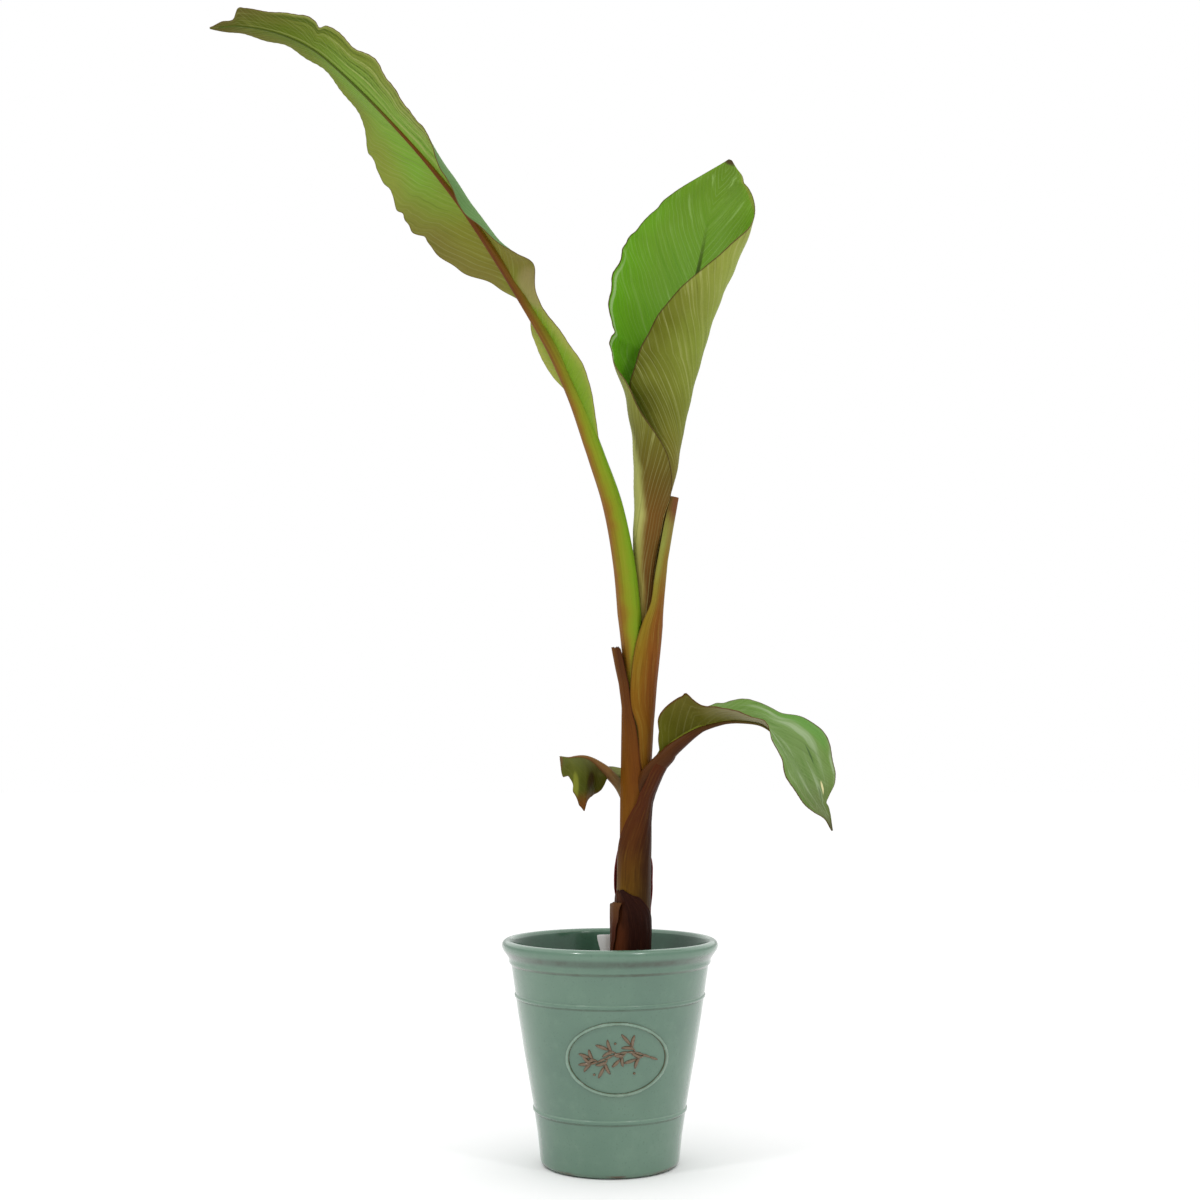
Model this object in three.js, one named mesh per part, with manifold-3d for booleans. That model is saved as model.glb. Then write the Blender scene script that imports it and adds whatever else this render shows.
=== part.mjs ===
// Young red banana plant in a glazed pot: pot, soil, blank label, sheathed stem and four leaves.
// Millimetres, +Z up, +Y away from the front, origin in the middle of the pot's flat underside.
import * as THREE from 'three';
import { mergeVertices } from 'three/addons/utils/BufferGeometryUtils.js';
import Module from 'manifold-3d';

const wasm = await Module();
wasm.setup();

// Clearance between pieces that touch
const gap = 0.3;

// Pot, turned about the Z axis; profiles are [radius, height]
const potSides = 48;
const lipRadius = 120;
const potHeight = 242;
const footProfile = [[0, 0], [70.5, 0], [74.6, 2]];
const neckStep = [109.9, 215.4];
const lipProfile = [[lipRadius - 8.1, 218.2], [lipRadius - 7.9, 221.4], [lipRadius - 3.8, 228],
  [lipRadius - 0.8, 233],
  [lipRadius, 236], [lipRadius - 1.4, 240], [lipRadius - 4.8, potHeight], [lipRadius - 8, potHeight - 0.4],
  [lipRadius - 10.6, 239], [lipRadius - 12.8, 232]];
const floorThickness = 9;
const innerFootRadius = 68;
const innerCorner = 6;
const innerCornerTop = 20;
const innerSoilRadius = 100.5;
const soilTop = 202;

// Plain wall of the pot as [height, radius]
const potWall = [[7, 76.6], [34, 79.6], [66.6, 84.8], [120.6, 94.7], [164, 101.9], [199, 107], [213, 109.2]];

// Ridges round the pot: height of the middle, rise and half height
const ridges = [{ height: 59.6, rise: 1.4, half: 2.4 }, { height: 181.6, rise: 1.4, half: 2.4 }];

// Raised oval on the front of the pot
const oval = { across: 7, height: 127.2, halfWidth: 52.4, halfHeight: 37.8, ridgeHalfWidth: 1.7, ridgeRise: 1.6 };

// Blank white label standing in the soil behind the left of the stem
const label = { across: -5, back: 17, top: 245, foot: 176, topWidth: 19, footWidth: 8, thickness: 1.6 };

// Middle line of the stem as [height, across], straight between its bends
const stemLine = [[200, 24], [300, 27.8], [400, 29], [515, 33.4], [600, 35]];

// Closed core of the stem as [height, radius], from the soil to the fork
const core = [[soilTop + gap, 13], [300, 12.6], [400, 12.8], [515, 15.2]];

// Leaf sheaths round the stem. Each station is [middle of the section, inner radius, outer radius,
// first angle, last angle], with angle 0 to the right and 270 to the front
const sheaths = {
  left_cut_sheath: [
    [onStem(soilTop + gap), 13.4, 16.6, 101, 297], [onStem(300), 13, 16.2, 101, 297],
    [onStem(400), 13.2, 16.6, 101, 297],
    [onStem(420), 13.7, 17, 101, 295], [onStem(442), 14.2, 17.5, 101, 280], [onStem(476), 14.9, 18.2, 101, 265],
    [onStem(500), 15.5, 18.8, 101, 234], [[30.5, 0, 526], 16.2, 19.5, 116, 212],
    [[26.5, 0, 546], 16.4, 19.5, 134, 206],
    [[22, 0, 567], 16.4, 19.4, 150, 200],
  ],
  right_cut_stalk: [
    [onStem(soilTop + gap), 13.4, 16.6, 299, 459], [onStem(300), 13, 16.2, 299, 459],
    [onStem(400), 13.2, 16.6, 299, 459],
    [onStem(420), 13.6, 17, 297, 459], [onStem(442), 14.1, 17.5, 282, 459], [onStem(476), 14.8, 18.2, 267, 459],
    [onStem(500), 15.4, 19, 241, 456], [onStem(526), 16.6, 20.2, 238, 450],
    [[35, 1.5, 546], 17.2, 20.6, 252, 444],
    [[38, 4, 571], 16.3, 19.6, 273, 432], [[40, 4, 594], 15.5, 18.8, 284, 400],
    [[45, 3, 621], 11.8, 15.3, 290, 385],
    [[56, -2, 667], 5.5, 9.5, 262, 420], [[65, -4.5, 700], 4, 8, 250, 440], [[75.5, -7, 739], 2.2, 6, 232, 460],
  ],
  right_leaf_stalk: [
    [onStem(soilTop + gap), 17, 19.8, 181, 440], [onStem(300), 16.6, 19.4, 181, 440],
    [onStem(333), 16.9, 19.6, 190, 440],
    [onStem(352), 17.1, 19.8, 208, 440], [onStem(370), 17.3, 19.9, 236, 436], [onStem(394), 17.5, 20, 268, 412],
    [[38.5, -7, 415], 14.8, 18.4, 272, 393],
  ],
  base_sheath_front: [
    [onStem(soilTop + gap), 20.2, 22.4, 196, 346], [onStem(262), 20.1, 22.2, 196, 344],
    [onStem(278), 20, 22, 196, 316],
    [onStem(289), 20, 21.8, 197, 288], [onStem(297), 20, 21.6, 201, 246],
  ],
  base_sheath_left: [
    [onStem(soilTop + gap), 20.2, 22.4, 149, 194], [onStem(245), 21.4, 23.8, 149, 194],
    [onStem(285), 24.6, 27, 156, 194],
  ],
  base_sheath_back: [
    [onStem(soilTop + gap), 20.2, 22.4, 0, 146], [onStem(276), 20, 22.2, 4, 146],
    [onStem(300), 20, 22.2, 8, 166],
    [onStem(322), 20, 22.1, 14, 166], [onStem(340), 20.1, 21.6, 30, 150],
  ],
};

// Leaves. rib: points along the midrib. face: [part of the length, direction of the upper face].
// left and right, seen from the upper face: [part of the length, half width, and the angles in degrees
// at which the half blade rises at the rib, half way out and at the margin].
// keel: [part of the length, radius of the midrib]
const bigLeaf = {
  thickness: 6.7,
  steps: 26,
  rib: [[-13, -14, 786], [-39, -22, 859], [-73, -34, 926], [-157, -66, 1049], [-226, -90, 1129],
    [-314, -116, 1210], [-357, -126, 1231], [-403, -134, 1238], [-436, -140, 1233]],
  face: [[0, 0.9, 0.25, 0.3], [0.3, 0.75, 0.33, 0.5], [0.55, 0.66, 0.3, 0.65], [0.8, 0.6, 0.3, 0.7],
    [1, 0.4, 0.3, 0.8]],
  right: [[0, 4, 0, 0, 0], [0.11, 9, -20, -25, -30], [0.18, 24, -20, -25, -30], [0.24, 19, -20, -25, -30],
    [0.275, 8, -35, -45, -55], [0.345, 32, -15, -20, -22], [0.4, 61, -18, -24, -28], [0.46, 72, -18, -26, -34],
    [0.54, 76, -18, -26, -34], [0.63, 71, -9, -17, -25], [0.7, 62, 7, 4, 0], [0.76, 46, 12, 11, 8],
    [0.85, 32, 14, 14, 13], [0.95, 16, 10, 10, 10], [1, 3, 0, 0, 0]],
  left: [[0, 8, 20, 20, 20], [0.06, 17, 20, 20, 20], [0.14, 29, 20, 20, 16], [0.2, 23, 25, 20, 10],
    [0.26, 22, 25, -40, -110], [0.295, 25, 20, -10, -60], [0.33, 36, 20, 22, 24], [0.36, 48, 15, 0, -40],
    [0.4, 57, 5, -20, -50], [0.46, 72, 15, -30, -75], [0.535, 74, 6, -22, -50], [0.62, 70, -2, -10, -18],
    [0.72, 64, 3, 0, -4], [0.81, 46, 8, 8, 8], [0.9, 30, 10, 10, 10], [0.945, 22, 18, 18, 18],
    [0.965, 12, 18, 18, 18],
    [1, 3, 0, 0, 0]],
  keel: [[0, 9.2], [0.12, 8.4], [0.3, 7.2], [0.45, 5], [0.6, 3.9], [1, 3.5]],
};
const newLeaf = {
  thickness: 4.6,
  steps: 24,
  rib: [[46, 14, 715], [61, 26, 811], [79, 38, 911], [98, 44, 987], [109, 44, 1035], [117, 41, 1075],
    [127, 36, 1107],
    [144, 30, 1150]],
  face: [[0, 0, -1, 0], [1, 0, -1, 0]],
  right: [[0, 80, 0, 150, 300], [0.1, 104, 0, 140, 262], [0.217, 112, 0, 142, 238], [0.3, 122, 0, 140, 212],
    [0.36, 128, 0, 135, 202],
    [0.444, 130, 0, 125, 200], [0.53, 125, 0, 113, 193], [0.618, 116, 0, 93, 177], [0.726, 104, -5, 68, 145],
    [0.8, 93, -5, 52, 110], [0.86, 74, 0, 40, 85], [0.92, 48, 0, 25, 55], [0.96, 25, 0, 15, 30],
    [1, 3, 0, 0, 0]],
  left: [[0, 76, 0, 130, 260], [0.1, 93, 0, 109, 218], [0.217, 88, 0, 72, 142], [0.3, 94, 0, 58, 118],
    [0.36, 102, 0, 44, 92], [0.444, 107, 0, 35, 72], [0.53, 112, 0, 30, 60], [0.618, 106, 0, 25, 50],
    [0.726, 95, 0, 22, 45], [0.827, 65, 0, 15, 35], [0.9, 38, 0, 15, 30], [0.95, 19, 0, 10, 20],
    [1, 3, 0, 0, 0]],
  keel: [[0, 3.2], [1, 2.8]],
};
const rightLeaf = {
  thickness: 2.6,
  steps: 12,
  rib: [[58, -21, 449], [65, -22, 456], [96, -24, 474], [122, -24, 482], [146, -24, 484], [173, -26, 478],
    [199, -32, 449], [222, -40, 407], [237, -44, 380], [243, -46, 363]],
  face: [[0, -0.45, -0.1, 0.9], [0.3, 0, -0.05, 1], [0.47, 0.3, -0.4, 0.8], [0.65, 0.42, -0.82, 0.4],
    [1, 0.42, -0.82, 0.3]],
  right: [[0, 3, 80, 80, 80], [0.05, 21, 85, 85, 85], [0.12, 34, 80, 85, 88], [0.17, 42, 75, 80, 80],
    [0.22, 38, 40, 40, 35], [0.27, 40, 28, 28, 25], [0.365, 42, 18, 20, 22], [0.47, 42, 30, 33, 34],
    [0.625, 36, 36, 32, 28], [0.72, 39, 34, 28, 22], [0.81, 31, 30, 24, 18], [0.9, 16, 24, 20, 16],
    [0.95, 6, 20, 20, 20], [1, 1.5, 0, 0, 0]],
  left: [[0, 3, 30, 30, 30], [0.05, 15, 30, 30, 30], [0.17, 36, 30, 30, 25], [0.27, 37, 35, 30, 25],
    [0.365, 39, 30, 28, 22], [0.47, 34, 20, 16, 10], [0.55, 52, 10, 0, -10], [0.625, 58, 6, -4, -12],
    [0.72, 47, 4, -4, -10], [0.81, 37, 4, -4, -10], [0.89, 14, 0, 0, 0], [0.94, 5, 0, 0, 0], [1, 1.5, 0, 0, 0]],
  keel: [[0, 9], [0.1, 6.5], [0.3, 3.6], [0.5, 2.2], [1, 1.5]],
};
const smallLeaf = {
  thickness: 1.4,
  steps: 16,
  rib: [[-2, 12, 429], [-14, 6, 440], [-27, -2, 444], [-36, -13, 440], [-39, -21, 426], [-35, -25, 405],
    [-29, -27, 384]],
  face: [[0, 0.5, -0.1, 0.85], [0.2, 0.2, -0.2, 0.95], [0.4, -0.3, -0.5, 0.8], [0.55, -0.3, -0.9, 0.35],
    [0.75, -0.1, -1, 0.1], [1, 0, -1, 0.1]],
  left: [[0, 3, -30, -30, -30], [0.1, 6, -50, -60, -65], [0.2, 24, -60, -68, -75], [0.34, 43, -45, -62, -72],
    [0.44, 46, -30, -50, -60], [0.55, 42, -12, -25, -35], [0.66, 33, -5, -10, -15], [0.78, 20, 0, 0, 0],
    [0.9, 7, 0, 0, 0],
    [1, 1.2, 0, 0, 0]],
  right: [[0, 4, 0, 0, 0], [0.2, 8, 0, -10, -20], [0.32, 14, -5, -8, -10], [0.42, 23, -8, -3, 4],
    [0.5, 20, -3, 0, 0],
    [0.58, 16, 0, 0, 0], [0.64, 8, 0, 0, 0], [0.8, 5, 0, 0, 0], [1, 1.2, 0, 0, 0]],
  keel: [[0, 5], [0.3, 2.6], [0.6, 1.4], [1, 0.9]],
};

// Part of the right leaf's length at which it bends over, and half of the cut there
const rightLeafBend = 0.5;
const halfCut = 0.0018;

// Free stalks between the stem and the blades as [point, radius]
const bigLeafStalk = [[[26, -3, 515 + gap], 8.5], [[25.4, -3, 560], 11.8], [[23.5, -3, 605], 13.4],
  [[17, -5, 667], 11.5],
  [[3, -9, 730], 10.4]];
const newLeafRoll = [[[41, 4, 515 + gap], 6], [[43.2, 6.1, 560], 8.4], [[45.2, 8.4, 620], 9.4],
  [[42.5, 7.5, 668], 11.3]];
const rollRadius = 16;
const smallLeafStalk = [[[25, 22.9, 366], 6.6], [[20.9, 22.4, 392], 6.6], [[12, 19.5, 411], 6]];

function onStem(height) {
  return [straight(stemLine, height), 0, height];
}

// Straight run between keys of [position, value]
function straight(keys, at) {
  let i = 0;
  while (i < keys.length - 2 && at > keys[i + 1][0]) i += 1;
  const share = (at - keys[i][0]) / (keys[i + 1][0] - keys[i][0]);
  return keys[i][1] + share * (keys[i + 1][1] - keys[i][1]);
}

// Smooth values between keys that start with their own position
function spline(keys, at) {
  const last = keys.length - 1;
  const place = Math.min(Math.max(at, keys[0][0]), keys[last][0]);
  let i = 0;
  while (i < last - 1 && place >= keys[i + 1][0]) i += 1;
  const slope = (k, column) => {
    const before = keys[Math.max(k - 1, 0)];
    const after = keys[Math.min(k + 1, last)];
    return (after[column] - before[column]) / (after[0] - before[0]);
  };
  const span = keys[i + 1][0] - keys[i][0];
  const x = (place - keys[i][0]) / span;
  const values = [];
  for (let column = 1; column < keys[0].length; column += 1) {
    const rise = 3 * x ** 2 - 2 * x ** 3;
    const leave = (x ** 3 - 2 * x ** 2 + x) * span * slope(i, column);
    const arrive = (x ** 3 - x ** 2) * span * slope(i + 1, column);
    values.push((1 - rise) * keys[i][column] + rise * keys[i + 1][column] + leave + arrive);
  }
  return values;
}

// Points with their share of the whole length in front
function alongKeys(points) {
  const lengths = [0];
  for (let i = 1; i < points.length; i += 1) {
    lengths.push(lengths[i - 1] + Math.hypot(...points[i].map((v, axis) => v - points[i - 1][axis])));
  }
  return points.map((point, i) => [lengths[i] / lengths[points.length - 1], ...point]);
}

function pointAndTangent(keys, at) {
  const step = 0.001;
  const ahead = new THREE.Vector3(...spline(keys, Math.min(at + step, 1)));
  const behind = new THREE.Vector3(...spline(keys, Math.max(at - step, 0)));
  return { point: new THREE.Vector3(...spline(keys, at)), tangent: ahead.sub(behind).normalize() };
}

// Closed solid between two equal grids of points, one for each face
function bandSolid(front, back) {
  const rows = front.length;
  const columns = front[0].length;
  const positions = [];
  for (const grid of [front, back]) {
    for (const row of grid) {
      for (const point of row) positions.push(point.x, point.y, point.z);
    }
  }
  const at = (side, row, column) => (side * rows + row) * columns + column;
  const index = [];
  const quad = (a, b, c, d) => index.push(a, b, c, a, c, d);
  for (let r = 0; r < rows - 1; r += 1) {
    for (let c = 0; c < columns - 1; c += 1) {
      quad(at(0, r, c), at(0, r, c + 1), at(0, r + 1, c + 1), at(0, r + 1, c));
      quad(at(1, r, c), at(1, r + 1, c), at(1, r + 1, c + 1), at(1, r, c + 1));
    }
    quad(at(0, r, 0), at(0, r + 1, 0), at(1, r + 1, 0), at(1, r, 0));
    quad(at(0, r, columns - 1), at(1, r, columns - 1), at(1, r + 1, columns - 1), at(0, r + 1, columns - 1));
  }
  for (let c = 0; c < columns - 1; c += 1) {
    quad(at(0, 0, c), at(1, 0, c), at(1, 0, c + 1), at(0, 0, c + 1));
    quad(at(0, rows - 1, c), at(0, rows - 1, c + 1), at(1, rows - 1, c + 1), at(1, rows - 1, c));
  }
  const geometry = new THREE.BufferGeometry();
  geometry.setAttribute('position', new THREE.Float32BufferAttribute(positions, 3));
  geometry.setIndex(index);
  return facingOut(geometry);
}

function facingOut(geometry) {
  const corners = geometry.getAttribute('position');
  const index = geometry.getIndex().array;
  const [a, b, c] = [new THREE.Vector3(), new THREE.Vector3(), new THREE.Vector3()];
  let volume = 0;
  for (let i = 0; i < index.length; i += 3) {
    a.fromBufferAttribute(corners, index[i]);
    b.fromBufferAttribute(corners, index[i + 1]);
    c.fromBufferAttribute(corners, index[i + 2]);
    volume += a.dot(b.cross(c));
  }
  if (volume < 0) index.reverse();
  return geometry;
}

// Round limb along points with radii; the section has 2 * half corners, and a flat end is cut level
function limbSolid(stations, steps, half, flatEnds = []) {
  const keys = alongKeys(stations.map(([point]) => point));
  const radii = stations.map(([, radius], i) => [keys[i][0], radius]);
  const front = [];
  const back = [];
  for (let step = 0; step <= steps; step += 1) {
    const along = step / steps;
    const { point, tangent } = pointAndTangent(keys, along);
    if (flatEnds.includes(along)) tangent.set(0, 0, 1);
    const side = new THREE.Vector3(1, 0, 0).addScaledVector(tangent, -tangent.x).normalize();
    const other = new THREE.Vector3().crossVectors(tangent, side);
    const [radius] = spline(radii, along);
    const corner = (angle) => point.clone()
      .addScaledVector(side, radius * Math.cos(angle)).addScaledVector(other, radius * Math.sin(angle));
    const angles = Array.from({ length: half }, (_, i) => ((i + 0.5) * Math.PI) / half);
    front.push(angles.map((angle) => corner(angle)));
    back.push(angles.map((angle) => corner(-angle)));
  }
  return bandSolid(front, back);
}

// Closed core of the stem with level sections at its bends
function coreSolid() {
  const half = 8;
  const row = (side) => core.map(([height, radius]) => Array.from({ length: half }, (_, i) => {
    const angle = (side * (i + 0.5) * Math.PI) / half;
    const spoke = new THREE.Vector3(radius * Math.cos(angle), radius * Math.sin(angle), 0);
    return new THREE.Vector3(...onStem(height)).add(spoke);
  }));
  return bandSolid(row(1), row(-1));
}

// Stations with more between them wherever a margin turns quickly round the stem
function fineStations(stations) {
  const maxTurn = 12;
  const blend = (a, b, share) => {
    if (Array.isArray(a)) return a.map((v, i) => blend(v, b[i], share));
    return a + share * (b - a);
  };
  return stations.flatMap((station, i) => {
    if (i === stations.length - 1) return [station];
    const next = stations[i + 1];
    const turn = Math.max(Math.abs(next[3] - station[3]), Math.abs(next[4] - station[4]));
    const count = Math.max(1, Math.ceil(turn / maxTurn));
    return Array.from({ length: count }, (_, k) => blend(station, next, k / count));
  });
}

// Sheath with a C-shaped section, level on the stem and square to its own line where it leaves the stem
function sheathSolid(stations, columns) {
  const fine = fineStations(stations);
  const places = alongKeys(fine.map(([middle]) => middle));
  const front = [];
  const back = [];
  fine.forEach(([middle, inner, outer, first, last], i) => {
    const { point, tangent } = pointAndTangent(places, places[i][0]);
    if (middle[1] === 0) tangent.set(0, 0, 1);
    const right = new THREE.Vector3(1, 0, 0).addScaledVector(tangent, -tangent.x).normalize();
    const away = new THREE.Vector3().crossVectors(tangent, right);
    const turn = THREE.MathUtils.degToRad((last - first) / columns);
    const arc = (radius) => Array.from({ length: columns + 1 }, (_, column) => {
      const angle = THREE.MathUtils.degToRad(first) + turn * column;
      return point.clone()
        .addScaledVector(right, radius * Math.cos(angle)).addScaledVector(away, radius * Math.sin(angle));
    });
    front.push(arc(outer));
    back.push(arc(inner / Math.cos(turn / 2)));
  });
  return bandSolid(front, back);
}

// Frame of a leaf at a part of its length: rib point, tangent, upper face and the left side
function leafFrame(leaf, at) {
  const { point, tangent } = pointAndTangent(alongKeys(leaf.rib), at);
  const face = new THREE.Vector3(...spline(leaf.face, at));
  face.addScaledVector(tangent, -face.dot(tangent)).normalize();
  return { point, tangent, face, left: new THREE.Vector3().crossVectors(face, tangent) };
}

// One half of a blade as a sheet of even thickness between two parts of the length
function halfBlade(leaf, sideName, from, to) {
  const columns = 4;
  const parts = 24;
  const front = [];
  const back = [];
  for (let step = 0; step <= leaf.steps; step += 1) {
    const at = from + ((to - from) * step) / leaf.steps;
    const { point, face, left } = leafFrame(leaf, at);
    const out = sideName === 'left' ? left : left.clone().negate();
    const [width, ...rise] = spline(leaf[sideName], at);
    const [root, middle, margin] = rise.map((angle) => THREE.MathUtils.degToRad(angle));
    const angleAt = (q) => root * (1 - q) * (1 - 2 * q) + middle * 4 * q * (1 - q) + margin * q * (2 * q - 1);
    const upper = [];
    const lower = [];
    let across = -leaf.thickness / 4;
    let up = 0;
    for (let i = 0; i <= parts; i += 1) {
      const angle = angleAt(i / parts);
      if (i % (parts / columns) === 0) {
        const skin = (offset) => point.clone()
          .addScaledVector(out, across - offset * Math.sin(angle))
          .addScaledVector(face, up + offset * Math.cos(angle));
        upper.push(skin(leaf.thickness / 2));
        lower.push(skin(-leaf.thickness / 2));
      }
      const next = angleAt((i + 0.5) / parts);
      across += (Math.cos(next) * width) / parts;
      up += (Math.sin(next) * width) / parts;
    }
    front.push(upper);
    back.push(lower);
  }
  return bandSolid(front, back);
}

// Centre of the midrib, whose top is level with the upper face
function keelCentre(leaf, at) {
  const { point, face } = leafFrame(leaf, at);
  const [radius] = spline(leaf.keel, at);
  return point.addScaledVector(face, leaf.thickness / 2 - radius);
}

function keelSolid(leaf, from, to) {
  const half = 4;
  const rows = (side) => Array.from({ length: leaf.steps + 1 }, (_, step) => {
    const at = from + ((to - from) * step) / leaf.steps;
    const { face, left } = leafFrame(leaf, at);
    const [radius] = spline(leaf.keel, at);
    return Array.from({ length: half }, (__, i) => {
      const angle = (side * (i + 0.5) * Math.PI) / half;
      return keelCentre(leaf, at)
        .addScaledVector(left, radius * Math.cos(angle)).addScaledVector(face, radius * Math.sin(angle));
    });
  });
  return bandSolid(rows(1), rows(-1));
}

// Blade: both halves and the midrib in one solid
function bladeSolid(leaf, from = 0, to = 1) {
  const halves = ['left', 'right'].map((sideName) => halfBlade(leaf, sideName, from, to));
  return joined([...halves, keelSolid(leaf, from, to)]);
}

// Last two stations of a stalk, in line with the blade that it meets and a clearance short of it
function stalkEnd(leaf, radius, end = keelCentre(leaf, 0)) {
  const { tangent } = leafFrame(leaf, 0);
  const lead = 18;
  return [lead, 1.5 * gap].map((back) => [end.clone().addScaledVector(tangent, -back).toArray(), radius]);
}

// Middle of the tube into which the new leaf is rolled at its foot
function rollCentre() {
  const { point, face } = leafFrame(newLeaf, 0);
  return point.addScaledVector(face, rollRadius);
}

function solidOf(geometry) {
  const bare = geometry.clone();
  bare.deleteAttribute('normal');
  bare.deleteAttribute('uv');
  const merged = mergeVertices(bare, 1e-4);
  return new wasm.Manifold(new wasm.Mesh({
    numProp: 3,
    vertProperties: new Float32Array(merged.getAttribute('position').array),
    triVerts: new Uint32Array(merged.getIndex().array),
  }));
}

function geometryOf(solid) {
  const mesh = solid.getMesh();
  const geometry = new THREE.BufferGeometry();
  geometry.setAttribute('position', new THREE.BufferAttribute(mesh.vertProperties, 3));
  geometry.setIndex(new THREE.BufferAttribute(mesh.triVerts, 1));
  return geometry;
}

// One solid of several that run into each other, without pin-sized hollows between them
function joined(geometries) {
  const whole = geometries.map((geometry) => solidOf(geometry)).reduce((sum, piece) => sum.add(piece));
  const bodies = whole.decompose().sort((a, b) => b.volume() - a.volume());
  return geometryOf(bodies[0]);
}

function without(geometry, cutter) {
  return geometryOf(solidOf(geometry).subtract(solidOf(cutter)));
}

// Solid turned about the Z axis from a profile of [radius, height]
function turned(profile) {
  const points = profile.map(([radius, height]) => new THREE.Vector2(radius, height));
  const geometry = new THREE.LatheGeometry(points, potSides);
  geometry.rotateX(Math.PI / 2);
  geometry.deleteAttribute('normal');
  geometry.deleteAttribute('uv');
  return facingOut(mergeVertices(geometry, 1e-4));
}

// Radius of the pot's plain wall at a height
function wallRadius(height) {
  return straight(potWall, height);
}

// Radius of the inside of the pot at a height
function insideRadius(height) {
  const share = (height - floorThickness) / (soilTop - floorThickness);
  return innerFootRadius + share * (innerSoilRadius - innerFootRadius);
}

function potSolid() {
  const wall = potWall.map(([height, radius]) => [radius, height]);
  for (const { height, half, rise } of ridges) {
    for (const share of [-1, -0.5, 0, 0.5, 1]) {
      const level = height + half * share;
      wall.push([wallRadius(level) + rise * (1 - share ** 2), level]);
    }
  }
  wall.sort((low, high) => low[1] - high[1]);
  const outside = [...footProfile, ...wall, neckStep];
  const inside = [[innerSoilRadius, soilTop], [insideRadius(innerCornerTop), innerCornerTop],
    [innerFootRadius - innerCorner, floorThickness], [0, floorThickness]];
  return turned([...outside, ...lipProfile, ...inside]);
}

// Oval ridge laid on the front of the pot's wall
function ovalSolid() {
  const tube = 0.1;
  const geometry = new THREE.TorusGeometry(1, tube, 6, 36);
  const place = geometry.getAttribute('position');
  for (let i = 0; i < place.count; i += 1) {
    const turn = Math.atan2(place.getY(i), place.getX(i));
    const outwards = ((Math.hypot(place.getX(i), place.getY(i)) - 1) / tube) * oval.ridgeHalfWidth;
    const rise = (place.getZ(i) / tube) * oval.ridgeRise;
    const across = oval.across + (oval.halfWidth + outwards) * Math.cos(turn);
    const height = oval.height + (oval.halfHeight + outwards) * Math.sin(turn);
    const radius = wallRadius(height) + rise;
    const swing = Math.asin(across / wallRadius(height));
    place.setXYZ(i, radius * Math.sin(swing), -radius * Math.cos(swing), height);
  }
  geometry.deleteAttribute('normal');
  geometry.deleteAttribute('uv');
  return facingOut(mergeVertices(geometry, 1e-4));
}

// Tapered upright plate, grown on all sides by a margin
function labelSolid(margin) {
  const { across, back, top, foot, topWidth, footWidth, thickness } = label;
  const rows = [[foot - margin, footWidth], [top + margin, topWidth]];
  const face = (depth) => rows.map(([height, width]) => [-1, 1].map((side) => new THREE.Vector3(
    across + side * (width / 2 + margin), back + depth * (thickness / 2 + margin), height)));
  return bandSolid(face(-1), face(1));
}

function soilSolid() {
  const fill = turned([[0, floorThickness + gap], [innerFootRadius - innerCorner - gap, floorThickness + gap],
    [insideRadius(innerCornerTop) - 1.5 * gap, innerCornerTop + gap], [insideRadius(soilTop) - gap, soilTop],
    [0, soilTop]]);
  return without(fill, labelSolid(gap));
}

const plant = new THREE.Group();

function addPart(name, geometry, colour, roughness, metalness = 0) {
  const material = new THREE.MeshStandardMaterial({ color: colour, roughness, metalness });
  const mesh = new THREE.Mesh(geometry, material);
  mesh.name = name;
  plant.add(mesh);
}

// Pot and what it holds
addPart('pot', joined([potSolid(), ovalSolid()]), 0x7f9a87, 0.25);
addPart('soil', soilSolid(), 0x3a2a1e, 0.95);
addPart('plant_label', labelSolid(0), 0xe4e4e0, 0.5);

// Stem
addPart('pseudostem', coreSolid(), 0x8a5a24, 0.5);
const sheathColours = {
  left_cut_sheath: 0x7a4322, right_cut_stalk: 0x8c7a2c, right_leaf_stalk: 0x4a2415, base_sheath_front: 0x3a1712,
  base_sheath_left: 0x6a4524, base_sheath_back: 0x7c3322,
};
const [rightStalkLead, rightStalkEnd] = stalkEnd(rightLeaf, rightLeaf.keel[0][1]);
sheaths.right_leaf_stalk.push([rightStalkLead[0], 8.4, 12.4, 270, 425], [rightStalkEnd[0], 4, 9, 270, 450]);
for (const [name, stations] of Object.entries(sheaths)) {
  addPart(name, sheathSolid(stations, 10), sheathColours[name], 0.5);
}

// Leaves and their stalks
const bigStalkStations = [...bigLeafStalk, ...stalkEnd(bigLeaf, bigLeaf.keel[0][1])];
addPart('big_left_leaf_stalk', limbSolid(bigStalkStations, 10, 5, [0]), 0x8f8c2c, 0.45);
addPart('big_left_leaf_blade', bladeSolid(bigLeaf), 0x7f9a3c, 0.5);
const rollStations = [...newLeafRoll, ...stalkEnd(newLeaf, rollRadius, rollCentre())];
addPart('new_leaf_roll', limbSolid(rollStations, 10, 6, [0]), 0x7a5a2a, 0.5);
addPart('new_leaf_blade', bladeSolid(newLeaf), 0x5f9a34, 0.45);
addPart('right_leaf_blade_inner', bladeSolid(rightLeaf, 0, rightLeafBend - halfCut), 0x6c7a34, 0.5);
addPart('right_leaf_blade_outer', bladeSolid(rightLeaf, rightLeafBend + halfCut, 1), 0x5f8a50, 0.5);
const smallStalkStations = [...smallLeafStalk, ...stalkEnd(smallLeaf, smallLeaf.keel[0][1])];
addPart('left_small_leaf_stalk', limbSolid(smallStalkStations, 8, 4), 0x8a5a34, 0.5);
addPart('left_small_leaf_blade', bladeSolid(smallLeaf), 0x6a7430, 0.5);

export default plant;
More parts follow.
